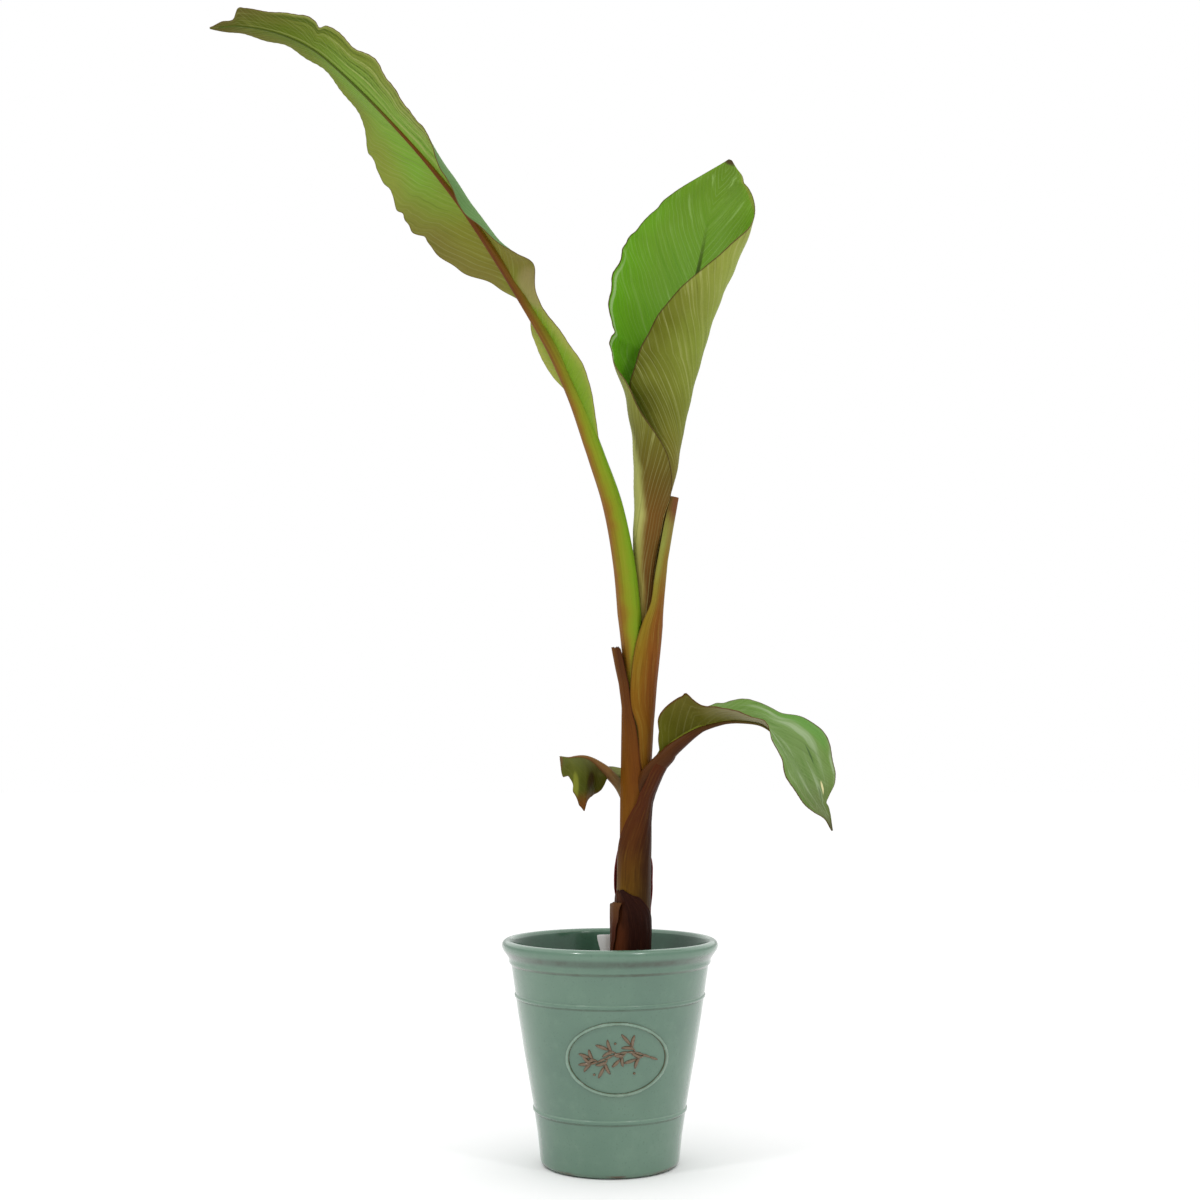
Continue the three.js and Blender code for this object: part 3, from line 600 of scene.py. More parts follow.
def glazeFinish(name, look):
    material, tree, shader = startFinish(name)
    place = objectPlace(tree)
    height = heightOf(tree, place)
    cloud = noise(tree, place, 9, 4, 0.55)
    mottle = noise(tree, place, 70, 4, 0.6)
    wearAndShadeNoise = noise(tree, place, 26, 5, 0.7)
    colour = tinted(tree, ramp(tree, cloud, look["ramp"]), look["pale"], mottle, 0.5, 0.75, 0.22)
    colour = tinted(tree, colour, look["speck"], noise(tree, place, 520, 2), 0.63, 0.72, 0.35)
    for low, high, least, most, tint in look["bands"]:  # worn glaze at the foot, painted shade under the ridges and in the neck groove (partly worn glaze), painted shade in the cove under the lip, painted highlights on the ridge tops; each patchy between two shares
        middle, reach = (low + high) / 2 * mm, (high - low) / 2 * mm
        away = sums(tree, "ABSOLUTE", sums(tree, "SUBTRACT", height, middle))
        band = span(tree, away, reach, reach * 0.3)
        colour = blendColour(tree, times(tree, band, span(tree, wearAndShadeNoise, 0.42, 0.62, least, most)), colour, tint)
    rough = span(tree, mottle, 0.3, 0.7, look["rough"] - 0.03, look["rough"] + 0.05)
    endFinish(tree, shader, colour, rough, shifted(tree, cloud, mottle, 0.4), 0.12, 0.0012,
              coat=look["coat"], coatRough=look["coatRough"])
    return material


glazeLook = {"ramp": [(0.3, "#547362"), (0.5, "#5c7b68"), (0.7, "#64826f")], "pale": "#6e8c77", "speck": "#435a4c",
    "rough": 0.2, "coat": 0.35, "coatRough": 0.08,
    # bands: worn brown at the foot; painted shade under each ridge, in the neck groove and in the cove under the lip;
    # pale painted highlights along the ridge tops
    "bands": [(0, 4.5, 0.1, 0.9, "#54432f"), (55.2, 58, 0.35, 0.55, "#3c4638"), (177.2, 180, 0.35, 0.55, "#3c4638"),
        (213.4, 217.6, 0.45, 0.78, "#3a3d2e"), (221, 233, 0.5, 0.62, "#38443a"), (224, 230, 0.1, 0.45, "#3a3528"),
        (60, 62.5, 0.2, 0.35, "#8aa893"), (182, 184.5, 0.2, 0.35, "#8aa893")]}
# the inside takes a darker copy of the glaze: painted shade inside the pot
insideLook = dict(glazeLook, ramp=[(0.3, "#2f4f3e"), (0.5, "#385b48"), (0.7, "#426752")], pale="#4f7560", speck="#2c3f35",
    bands=[])
potPiece = drawPot()
finishPiece(potPiece, ["pot"], [glazeFinish("potGlaze", glazeLook), glazeFinish("potInside", insideLook)], 40)
for side in potPiece.data.polygons:  # faces that look at the pot's axis
    inwards = side.normal.x * side.center.x + side.normal.y * side.center.y < 0
    side.material_index = 1 if inwards and side.center.z < pot["insideTop"] * mm else 0


# raised oval and sprig on the front of the pot
ornament = {"across": 7, "height": 127.2, "halfWidth": 52.4, "halfHeight": 37.8, "ridgeHalf": 1.9, "ridgeRise": 2.4}
sprig = {"growth": {"from": 43, "to": -27, "swing": 7, "wave": 4.6, "lead": -0.5, "lift": 1}, "stemSteps": 9,
    "stemHalf": 1.4, "stemRise": 1.7, "twigs": 6, "twigFrom": 0.2, "twigStep": 0.14, "twigOut": 0.8, "twigLength": 10,
    "spray": [(0.1, 0.5, 1.0), (-0.6, 4, 0.9), (0.7, 6, 0.85)], "leafLength": 14, "leafHalf": 1.9, "leafRise": 2.0,
    "berries": [(-2, 17), (-24, -16), (18, -15)], "berryHalf": 1.4, "overlap": 1.2, "ahead": 0.02, "twigHalf": 1.12,
    "twigBend": 0.3, "leafBend": 0.5, "tipBend": 0.4, "sizeSwing": 0.12, "sizeWave": 2.3, "crestShare": 1.2}


def onWall(across, height, rise):  # point on the pot's front, lifted off its wall
    radius = wallRadius(height)
    turn = np.arcsin(across / radius)
    return np.stack([(radius + rise) * np.sin(turn), -(radius + rise) * np.cos(turn), height], -1)


def layOnWall(piece, across, height, rise, crest):  # places are measured from the middle of the oval
    points = onWall(ornament["across"] + across, ornament["height"] + height, rise)
    piece.data.vertices.foreach_set("co", (points * mm).ravel())
    markPoints(piece, {"crest": np.clip(crest, 0, 1)})
    piece.data.update()
    return piece


def ornamentFinish(name, look):
    material, tree, shader = startFinish(name)
    place = objectPlace(tree)
    wearAndShadeNoise = noise(tree, place, 60, 4, 0.65)
    uneven = sums(tree, "ADD", layerValue(tree, "crest"), swing(tree, wearAndShadeNoise, look["patchy"]))
    # ramp up the ridge: dark at its foot is painted shade, brown is worn glaze, the pale crest is a painted highlight
    colour = ramp(tree, uneven, look["ramp"])
    colour = tinted(tree, colour, look["cloud"], noise(tree, place, 9, 4, 0.55), 0.3, 0.7, 0.2)
    rough = span(tree, wearAndShadeNoise, 0.3, 0.7, 0.18, 0.32)
    endFinish(tree, shader, colour, rough, wearAndShadeNoise, 0.15, 0.0006, coat=0.3, coatRough=glazeLook["coatRough"])
    return material


def ovalRidge():
    deselectAll()
    thin = 0.1
    bpy.ops.mesh.primitive_torus_add(major_segments=128, minor_segments=12, major_radius=1, minor_radius=thin)
    piece = bpy.context.object
    piece.name = "potOval"
    x, y, z = cornersOf(piece).T
    turn = np.arctan2(y, x)
    outwards = (np.hypot(x, y) - 1) / thin * ornament["ridgeHalf"]
    across = (ornament["halfWidth"] + outwards) * np.cos(turn)
    height = (ornament["halfHeight"] + outwards) * np.sin(turn)
    return layOnWall(piece, across, height, z / thin * ornament["ridgeRise"], z / thin)


def sprigStroke(start, heading, length, half, bend, rise):  # one slender leaf: a ball drawn out and laid on the wall
    deselectAll()
    bpy.ops.mesh.primitive_uv_sphere_add(segments=20, ring_count=14, radius=1)
    piece = bpy.context.object
    x, y, z = cornersOf(piece).T
    t = (z + 1) / 2
    turn = heading + bend * (t - 0.5)
    across = start[0] + length * t * np.cos(turn) - y * half * np.sin(turn)
    height = start[1] + length * t * np.sin(turn) + y * half * np.cos(turn)
    return layOnWall(piece, across, height, x * rise, x * sprig["crestShare"])


def drawSprig():
    strokes = []
    grow = sprig["growth"]

    def stemAt(share):
        up = grow["swing"] * math.sin(share * grow["wave"] + grow["lead"]) + grow["lift"]
        return np.array([grow["from"] + (grow["to"] - grow["from"]) * share, up])

    def stroke(start, heading, length, half, bend, rise):
        strokes.append(sprigStroke(start, heading, length, half, bend, rise))
        return start + length * np.array([math.cos(heading), math.sin(heading)])

    for k in range(sprig["stemSteps"]):  # woody stem in short overlapping strokes along a lazy S
        first, second = stemAt(k / sprig["stemSteps"]), stemAt((k + sprig["overlap"]) / sprig["stemSteps"])
        step = second - first
        stroke(first, math.atan2(step[1], step[0]), math.hypot(*step), sprig["stemHalf"], 0, sprig["stemRise"])
    for k in range(sprig["twigs"]):  # twigs in turn above and below, each with a spray of leaves
        share = sprig["twigFrom"] + k * sprig["twigStep"]
        step = stemAt(share + sprig["ahead"]) - stemAt(share)
        up = 1 if k % 2 else -1
        heading = math.atan2(step[1], step[0]) - up * sprig["twigOut"]
        bend = sprig["twigBend"] * up
        end = stroke(stemAt(share), heading, sprig["twigLength"], sprig["twigHalf"], bend, sprig["stemRise"])
        for turn, back, size in sprig["spray"]:
            root = end - back * np.array([math.cos(heading), math.sin(heading)])
            length = sprig["leafLength"] * size * (1 + sprig["sizeSwing"] * math.sin(k * sprig["sizeWave"]))
            bend = sprig["leafBend"] * up * turn
            stroke(root, heading + turn * up, length, sprig["leafHalf"], bend, sprig["leafRise"])
    for turn, _, size in sprig["spray"]:  # leaves at the tip
        length = sprig["leafLength"] * size
        stroke(stemAt(1.0), math.pi + turn, length, sprig["leafHalf"], sprig["tipBend"] * turn, sprig["leafRise"])
    for x, z in sprig["berries"]:
        berry = sprig["berryHalf"]
        strokes.append(sprigStroke((x - berry, z), 0, 2 * berry, berry, 0, sprig["leafRise"]))
    pick(strokes[0])
    for mark in strokes:
        mark.select_set(True)
    bpy.ops.object.join()
    piece = bpy.context.object
    piece.name = piece.data.name = "potSprig"
    return piece


# dark foot: painted shade; browns: worn glaze; palest top: painted highlight
ovalLook = {"ramp": [(0.0, "#44543f"), (0.2, "#57482f"), (0.45, "#58624c"), (0.72, "#678270"), (1.0, "#7c9886")],
    "cloud": "#5c5038", "patchy": 0.8}
sprigLook = {"ramp": [(0.0, "#3f4c3c"), (0.12, "#54402c"), (0.7, "#5f4832"), (1.0, "#705c44")], "cloud": "#5e5640",
    "patchy": 0.5}
finishPiece(ovalRidge(), [], [ornamentFinish("ovalGlaze", ovalLook)], 60)
finishPiece(drawSprig(), [], [ornamentFinish("sprigGlaze", sprigLook)], 60)


# soil: a lumpy crust over a plug that fills the pot
soil = {"top": 202, "radius": 100.1, "turns": 120, "rings": 36, "lump": 0.88, "lumpKinds": 8, "sink": 1.2,
    "plug": [(99.9, 190), (69, 21), (61, 11), (20, 11), (0.6, 11)]}


def drawSoil():
    turn = np.arange(soil["turns"]) / soil["turns"] * 2 * math.pi
    share = np.linspace(0.006, 1, soil["rings"])
    radius = share * soil["radius"]
    x, y = radius[:, None] * np.cos(turn), radius[:, None] * np.sin(turn)
    lumps = np.zeros_like(x)
    for k in range(1, soil["lumpKinds"] + 1):
        lumps += np.sin(x * 0.045 * k + 1.7 * k + 2 * np.sin(y * 0.03 * k)) * np.cos(y * 0.05 * k + 0.9 * k) / k**0.8
    z = soil["top"] - soil["sink"] + soil["lump"] * lumps * (1 - share[:, None] ** 8)
    sides = [np.stack([r * np.cos(turn), r * np.sin(turn), np.full_like(turn, height)], -1) for r, height in soil["plug"]]
    return tubePiece("pottingSoil", np.concatenate([np.stack([x, y, z], -1), np.array(sides)]))


def soilFinish(name, look):
    material, tree, shader = startFinish(name)
    place = objectPlace(tree)
    clod = noise(tree, place, 160, 6, 0.7)
    crumb = addNode(tree, "ShaderNodeTexVoronoi", {"Vector": place, "Scale": 420.0}).outputs["Distance"]
    colour = tinted(tree, ramp(tree, clod, look["ramp"]), look["bark"], noise(tree, place, 330, 2), 0.62, 0.7, 0.8)
    rough = span(tree, clod, 0.3, 0.7, 0.85, 1.0)
    endFinish(tree, shader, colour, rough, shifted(tree, clod, crumb, 0.6), 0.9, 0.003)
    return material


soilLook = {"ramp": [(0.3, "#1c130d"), (0.5, "#35251a"), (0.7, "#4d3828")], "bark": "#6b4a30"}
finishPiece(drawSoil(), ["soil"], [soilFinish("pottingMix", soilLook)], 80)


# blank white label with a soft fold down its middle
label = {"across": -5, "back": 17, "top": 244.6, "foot": 177, "topHalf": 9.3, "footHalf": 4, "fold": 1.2, "thick": 0.9,
    "corner": 0.8, "bevel": 0.25, "rows": 24, "columns": 12}


def drawLabel():
    share = np.linspace(0, 1, label["rows"])[:, None]
    side = np.linspace(-1, 1, label["columns"])[None, :]
    half = label["footHalf"] + (label["topHalf"] - label["footHalf"]) * ease(share, 0.6, 1.0)
    x = label["across"] + half * side
    y = label["back"] - label["fold"] * (1 - np.abs(side)) * ease(share, 0.3, 1)
    z = label["foot"] + (label["top"] - label["foot"]) * share - label["corner"] * np.abs(side) ** 6 * (share > 0.99)
    piece = gridPiece("plantLabel", np.stack([x, y, z], -1))
    applyModifier(piece, "SOLIDIFY", thickness=label["thick"] * mm, offset=0)
    applyModifier(piece, "BEVEL", width=label["bevel"] * mm, segments=2, limit_method="ANGLE", angle_limit=math.radians(50))
    return piece


def labelFinish(name, look):
    material, tree, shader = startFinish(name)
    place = objectPlace(tree)
    smear = noise(tree, place, 45, 4, 0.6)
    dirt = sums(tree, "ADD", heightOf(tree, place), swing(tree, smear, 0.03))
    colour = tinted(tree, ramp(tree, smear, look["ramp"]), look["dirt"], dirt, look["dirtFrom"], look["dirtTo"])
    rough = span(tree, smear, 0.3, 0.7, 0.38, 0.55)
    endFinish(tree, shader, colour, rough, noise(tree, place, 700, 2), 0.08, 0.0003)
    return material


labelLook = {"ramp": [(0.3, "#f4f4f0"), (0.6, "#fdfdfb")], "dirt": "#5d4c3c", "dirtFrom": 0.214, "dirtTo": 0.198}
finishPiece(drawLabel(), ["plant_label"], [labelFinish("labelPlastic", labelLook)], 40)


# stem core
stemCore = {"sizes": [(202.3, 13), (300, 12.6), (400, 12.8), (515, 15.2)], "rows": 60, "columns": 48,
    "groove": [(0, 0), (1, 0)]}
coreLook = {"lowRamp": [(0.0, "#6b4a1c"), (0.5, "#7e5618"), (1.0, "#6b4a1c")],
    "highRamp": [(0.0, "#8a7a26"), (0.5, "#8f8a2a"), (1.0, "#8a7a26")], "changeFrom": 0.5, "changeTo": 0.9, "fibres": 40,
    "fibreLength": 5, "pale": "#a08a4a", "deep": "#4a3010", "rough": 0.45, "bump": 0.3}
coreHeights, coreRadii = zip(*stemCore["sizes"])
rodPiece("stemCore", np.array([onStem(z) for z in coreHeights]), np.array(coreRadii),
         np.tile([1.0, 0, 0], (len(coreHeights), 1)), stemCore, ["pseudostem"], "stem_flesh", "stemCoreSkin", coreLook)


# cut sheath on the left, its torn top standing off the stem
soilTop = 202.3
leftCutSheath = {"stations": [(soilTop, 13.4, 16.6, 101, 297), (300, 13, 16.2, 101, 297), (400, 13.2, 16.6, 101, 297),
        (420, 13.7, 17, 101, 295), (442, 14.2, 17.5, 101, 280), (476, 14.9, 18.2, 101, 265), (500, 15.7, 19.2, 101, 243),
        ((30.2, 0, 526), 16.8, 20, 116, 242), ((26, 0, 546), 17.2, 20.2, 134, 242), ((22, 0, 567.5), 17.2, 20, 150, 238)],
    "rows": 150, "columns": 64, "thin": 6, "lip": 0.3, "ribs": 9, "ribDepth": 0.16, "bulge": 0.12, "edgeWave": 1.2,
    "edgeCount": 6, "ragged": [(0, 6), (0.25, 1), (0.42, 0), (0.6, 2), (0.85, 0.5), (1, 3)], "torn": 0.7,
    "raggedReach": 0.07}
leftSheathLook = {"ramp": [(0.0, "#4e3010"), (0.35, "#704408"), (0.6, "#704408"), (0.85, "#663a08"), (1.0, "#663e12")],
    "sideRamp": [(0.0, "#5a3c10"), (0.4, "#7a5216"), (0.6, "#6a3c12"), (1.0, "#4c2a12")], "sideFrom": 0.55, "sideTo": 0.9,
    "fibres": 46, "fibreLength": 7, "pale": "#7c5420", "deep": "#3a1c0a", "marginFrom": 0.93, "marginShare": 0.75,
    "marginColour": "#3c160a", "insideColour": "#341f0f", "rough": 0.62, "bump": 0.35}
sheathPiece("leftCutSheath", leftCutSheath, ["left_cut_sheath"], "leftSheathSkin", leftSheathLook)

# sheath and cut stalk on the right
rightCutStalk = {"stations": [(soilTop, 13.4, 16.6, 299, 459), (300, 13, 16.2, 299, 459), (400, 13.2, 16.6, 299, 459),
        (420, 13.6, 17, 297, 459), (442, 14.1, 17.5, 282, 459), (476, 14.8, 18.2, 267, 459), (500, 15.4, 19, 243, 456),
        (526, 16.6, 20.2, 239, 450), ((35, 1.5, 546), 17.4, 20.8, 241, 444), ((38, 3, 571), 17.2, 20.6, 247, 432),
        ((40.2, 2.5, 594), 17, 20.4, 260, 400), ((45, 2, 621), 13.8, 17.3, 276, 388),
        ((55.6, -2, 667), 6.9, 10.9, 262, 420), ((63.4, -4.5, 700), 4.6, 8.6, 250, 440),
        ((72.6, -7, 739), 2.4, 6.3, 232, 460)],
    "rows": 200, "columns": 64, "thin": 8, "lip": 0.35, "ribs": 8, "ribDepth": 0.14, "bulge": 0.1, "edgeWave": 1.0,
    "edgeCount": 8, "ragged": [(0, 0.6), (0.5, 0), (1, 0.5)], "torn": 0.15, "raggedReach": 0.03}
rightStalkLook = {"ramp": [(0.0, "#452a0a"), (0.3, "#6a4410"), (0.45, "#734c10"), (0.56, "#7c5412"), (0.64, "#806016"),
        (0.72, "#846c1c"), (0.8, "#847a2a"), (0.88, "#868c40"), (0.97, "#827e38"), (1.0, "#6e5628")],
    "sideRamp": [(0.0, "#3a220a"), (0.4, "#683c10"), (0.65, "#784214"), (0.75, "#7e4c18"), (0.86, "#826a28"),
        (0.93, "#84783c"), (1.0, "#70462a")],
    "sideFrom": 0.08, "sideTo": 0.32, "fibres": 40, "fibreLength": 9, "pale": "#9a9044", "deep": "#4a300e",
    "marginFrom": 0.94, "marginShare": 0.6, "marginColour": "#45200f", "insideColour": "#605618", "rough": 0.46,
    "bump": 0.3}
sheathPiece("rightCutStalk", rightCutStalk, ["right_cut_stalk"], "rightStalkSkin", rightStalkLook)


# big leaf that leans out to the left
bigLeaf = {"grid": (420, 30),
    "rib": [(-13, -14, 786), (-39, -22, 859), (-73, -34, 926), (-157, -66, 1049), (-226, -90, 1129), (-314, -116, 1210),
        (-357, -126, 1231), (-403, -134, 1238), (-436, -140, 1233)],
    "face": [(0, 0.9, 0.25, 0.3), (0.3, 0.75, 0.33, 0.5), (0.55, 0.66, 0.3, 0.65), (0.8, 0.6, 0.3, 0.7),
        (1, 0.4, 0.3, 0.8)],
    "right": [(0, 2, 0, 0, 0), (0.1, 9, -15, -20, -25), (0.17, 28, -15, -20, -25), (0.23, 24, -15, -20, -25),
        (0.278, 4, -35, -45, -55), (0.345, 32, -15, -20, -22), (0.4, 61, -18, -24, -28), (0.46, 72, -18, -26, -34),
        (0.54, 76, -18, -26, -34), (0.63, 71, -9, -17, -25), (0.7, 62, 7, 4, 0), (0.76, 46, 12, 11, 8),
        (0.85, 32, 14, 14, 13), (0.95, 16, 10, 10, 10), (1, 1, 0, 0, 0)],
    "left": [(0, 2, 20, 20, 20), (0.03, 12, -50, 33, 33), (0.08, 23, -50, 33, 33), (0.14, 32, -50, 33, 29),
        (0.2, 23.5, -45, 33, 23), (0.26, 26.5, -45, 14, -26), (0.295, 27, -45, 24, -11), (0.325, 39, -50, 35, 37),
        (0.338, 43.5, -39, 25, 13), (0.36, 45, -20, 7, -33), (0.4, 56, 5, -20, -48), (0.46, 63, 9, -30, -69),
        (0.535, 74, 6, -22, -50), (0.62, 70, -2, -10, -18), (0.72, 64, 3, 0, -4), (0.81, 46, 8, 8, 8),
        (0.9, 30, 10, 10, 10), (0.945, 23, 18, 18, 18), (0.954, 21, 18, 18, 18), (0.961, 8, 18, 18, 18),
        (0.98, 6, 18, 18, 18), (1, 1, 0, 0, 0)],
    "leftLobes": [(0.83, -7, 0.005), (0.85, 4, 0.012), (0.905, -4, 0.025), (0.765, -2.5, 0.014), (0.72, 6, 0.018),
        (0.655, -10, 0.018), (0.6, 9, 0.014), (0.5, -5, 0.045)],
    "rightLobes": [(0.692, -2, 0.01), (0.664, 7, 0.013), (0.615, -3, 0.012), (0.588, -4, 0.014), (0.553, 3, 0.01),
        (0.54, -2.5, 0.006), (0.528, 2.5, 0.01), (0.505, 5, 0.012), (0.483, -3, 0.007)],
    "scallop": {"share": 0.015, "count": 17}, "ripple": {"height": 1.6, "count": 13, "phase": 1.1, "from": 0.3},
    "pleat": {"depth": 0.22, "pitch": 11}, "sweep": [(0, 0.5), (0.3, 1.0), (0.5, 1.45), (1, 2.2)], "blade": 0.8,
    "keelDepth": [(0, 0.2), (0.15, 0.4), (0.35, 0.5), (1, 0.5)]}
bigUnderLook = {"ribRamp": [(0.0, "#6c881a"), (0.22, "#708e20"), (0.36, "#746f2a"), (0.47, "#787c2c"), (0.57, "#749c36"),
        (0.72, "#749636"), (0.88, "#5c6c1a"), (1.0, "#55521e")],
    "edgeRamp": [(0.0, "#929c40"), (0.22, "#9a9e4c"), (0.34, "#776f34"), (0.47, "#736c32"), (0.6, "#828c3a"),
        (0.8, "#707d28"), (1.0, "#5c5026")],
    "edgeFrom": 0.25, "edgeTo": 1.0, "patchScale": 11, "patchShare": 0.5, "streaks": 150, "pale": "#989d52",
    "paleShare": 0.32, "deep": "#4a5a14", "deepShare": 0.4, "veinPitch": 9.5, "veinShare": 0.3, "veinColour": "#a3a670",
    "folds": 13, "foldFrom": 0.5, "foldSide": 0.0, "foldShare": 0.78, "foldHighlight": "#a0a862", "foldShade": "#3f5410",
    "spots": [(0.3, -0.65, 0.035, 0.45, 0.55, "#9a8a60"), (0.1, -0.45, 0.11, 0.5, 0.6, "#6c9222")], "marginFrom": 0.975,
    # ribLine: pale line painted along the midrib, painted light over the shaded crease beside it
    "marginShare": 0.7, "marginColour": "#5c4426", "rough": 0.5, "ribLine": ("#a2b444", 0.16, 0.3), "gloss": 0.045,
    "finePitch": 1.9, "bump": 0.35}
bigUpperLook = dict(bigUnderLook,
    ribRamp=[(0.0, "#6c8a1e"), (0.3, "#648530"), (0.5, "#63884a"), (0.75, "#5c842e"), (1.0, "#64702c")],
    edgeRamp=[(0.0, "#6f8a22"), (0.35, "#5a7e46"), (0.55, "#5a7e48"), (0.8, "#628434"), (1.0, "#6a662c")], pale="#8ca870",
    deep="#436422", veinColour="#94ac74", veinShare=0.3, rough=0.6, gloss=0.07, bump=0.2, foldShare=0.2, spots=[],
    ribLine=("#6c8a1e", 0.02, 0.1))
marginLook = dict(bigUnderLook, ribRamp=[(0.0, "#6e5a30"), (1.0, "#64502c")], edgeRamp=[(0.0, "#6e5a30"), (1.0, "#64502c")],
    pale="#7c6a40", deep="#4a3820", veinColour="#7c6a40")
marginSkin = leafFinish("leafMargin", marginLook)
leafPiece("bigLeafBlade", bigLeaf, ["big_left_leaf_blade"], "bigLeaf", bigUpperLook, bigUnderLook)

# its stalk, running on under the blade as the midrib
bigStalk = {"low": [((26, -3, 515.3), 8.5), ((25.4, -3, 560), 11.4), ((22.9, -3, 605), 14), ((16.5, -5, 667), 13.4),
        ((4, -9, 730), 12.4)],
    "keel": [(0, 10.8), (0.12, 9), (0.3, 6.6), (0.45, 4), (0.6, 2.4), (0.8, 1.4), (1, 0.7)], "face": (0.9, 0.25, 0.3),
    "places": (0, 0.985, 40), "rows": 320, "columns": 40,
    "groove": [(0, 0.0), (0.08, 0.1), (0.2, 0.3), (0.35, 0.3), (0.5, 0.1), (1, 0.0)]}
bigStalkLook = {"lowRamp": [(0.0, "#74921a"), (0.2, "#7c901c"), (0.38, "#80721c"), (0.45, "#7e5018"), (0.54, "#82581a"),
        (0.61, "#846c1c"), (0.68, "#80861c"), (0.84, "#6e941a"), (1.0, "#74921a")],
    "highRamp": [(0.0, "#74821e"), (0.25, "#7e661e"), (0.4, "#6c4212"), (0.55, "#5e2e0c"), (0.7, "#6a4010"),
        (0.8, "#7a6418"), (0.9, "#70881e"), (1.0, "#86a030")],
    "tip": (0.74, 0.82, "#4a5a1a"), "changeFrom": 0.3, "changeTo": 0.6, "fibres": 34, "fibreLength": 10, "pale": "#9a9636",
    "deep": "#50340e", "rough": 0.42, "bump": 0.25}
stalkPiece("bigLeafStalk", bigLeaf, bigStalk, ["big_left_leaf_stalk"], "stalk_green", "bigStalkSkin", bigStalkLook)


# new leaf, still rolled below and opening into a cornet
newLeaf = {"grid": (330, 44),
    "rib": [(45.6, 14, 715), (62.4, 26, 811), (80.8, 38, 911), (98, 44, 987), (109, 44, 1035), (117, 41, 1075),
        (127, 36, 1107), (144, 30, 1150)],
    "rootRib": [(41, 10, 518), (41.5, 14.4, 562), (42, 17.4, 620), (41.8, 18.5, 668)],
    "face": [(-0.5, 0, -1, 0), (1, 0, -1, 0)],
    "right": [(-0.5, 30, 0, 150, 300), (-0.34, 44, 0, 150, 300), (-0.2, 58, 0, 152, 305), (-0.1, 71, 0, 155, 312),
        (0, 88, 0, 156, 314), (0.1, 88, 0, 116, 222), (0.217, 109, 0, 136, 234), (0.3, 127, 0, 140, 215),
        (0.36, 131, 0, 135, 202), (0.444, 133, 0, 125, 200), (0.53, 126, 0, 113, 193), (0.618, 116, 0, 93, 177),
        (0.726, 104, -5, 68, 145), (0.8, 93, -5, 52, 110), (0.86, 74, 0, 40, 85), (0.92, 48, 0, 25, 55),
        (0.96, 25, 0, 15, 30), (1, 2, 0, 0, 0)],
    "left": [(-0.5, 30, 0, 135, 270), (-0.34, 44, 0, 135, 270), (-0.2, 56, 0, 135, 270), (-0.1, 68, 0, 132, 265),
        (0, 81, 0, 130, 260), (0.1, 100, 0, 109, 218), (0.217, 98, 0, 70, 140), (0.3, 103, 0, 53, 108),
        (0.36, 107, 0, 41, 85), (0.444, 105, 0, 35, 72), (0.53, 111, 0, 30, 60), (0.618, 108, 0, 25, 50),
        (0.726, 95, 0, 22, 45), (0.827, 65, 0, 15, 35), (0.9, 38, 0, 15, 30), (0.95, 19, 0, 10, 20), (1, 2, 0, 0, 0)],
    "scallop": {"share": 0.012, "count": 11}, "ripple": {"height": 0.5, "count": 9, "phase": 0.7, "from": 0.4},
    "alongFloor": -0.5, "pleat": {"depth": 0.16, "pitch": 12},
    "sweep": [(-0.5, 6), (0, 4), (0.2, 2.4), (0.4, 1.6), (0.7, 1.5), (1, 2.2)], "blade": 0.8, "keelDepth": [(0, 1), (1, 1)],
    "leftLobes": [(0.822, -1.2, 0.01), (0.842, 1, 0.014), (0.698, -1.8, 0.012), (0.731, 1.2, 0.016), (0.438, -4, 0.011),
        (0.486, 2, 0.03), (0.4, 3, 0.014), (0.63, -2.5, 0.045)],
    "rightLobes": [(0.952, -2.5, 0.006), (0.972, 2, 0.008)]}
newOtherHalf = {"near": [(0.2, "#8a6a30"), (0.4, "#a49c50"), (0.5, "#b0b064"), (0.62, "#a0a258"), (0.75, "#979854"),
        (1.0, "#929c4c")],
    "from": -0.54, "to": -0.68,
    "far": [(0.25, "#5f3a14"), (0.42, "#684818"), (0.5, "#6a4818"), (0.58, "#5f4e18"), (0.66, "#66611f"), (0.78, "#828638"),
        (1.0, "#8c9444")]}
newUnderLook = {"ribRamp": [(0.0, "#6a4c18"), (0.06, "#6c5c1c"), (0.25, "#727628"), (0.45, "#7e8c34"), (0.7, "#94a24a"),
        (1.0, "#7c7a30")],
    "edgeRamp": [(0.0, "#684616"), (0.08, "#625614"), (0.3, "#525010"), (0.5, "#5e6216"), (0.66, "#868e3a"),
        (0.85, "#929c48"), (1.0, "#665a24")],
    "edgeFrom": 0.45, "edgeTo": 1.0, "patchScale": 15, "patchShare": 0.7, "streaks": 110, "pale": "#aeb070",
    "paleShare": 0.75, "deep": "#42430b", "deepShare": 0.6, "veinPitch": 14, "veinShare": 0.25, "veinColour": "#b8b980",
    "marginFrom": 0.978, "marginShare": 0.9, "marginColour": "#3c2210", "otherHalf": newOtherHalf, "rough": 0.46,
    "gloss": 0.08, "finePitch": 2.1, "bump": 0.35}
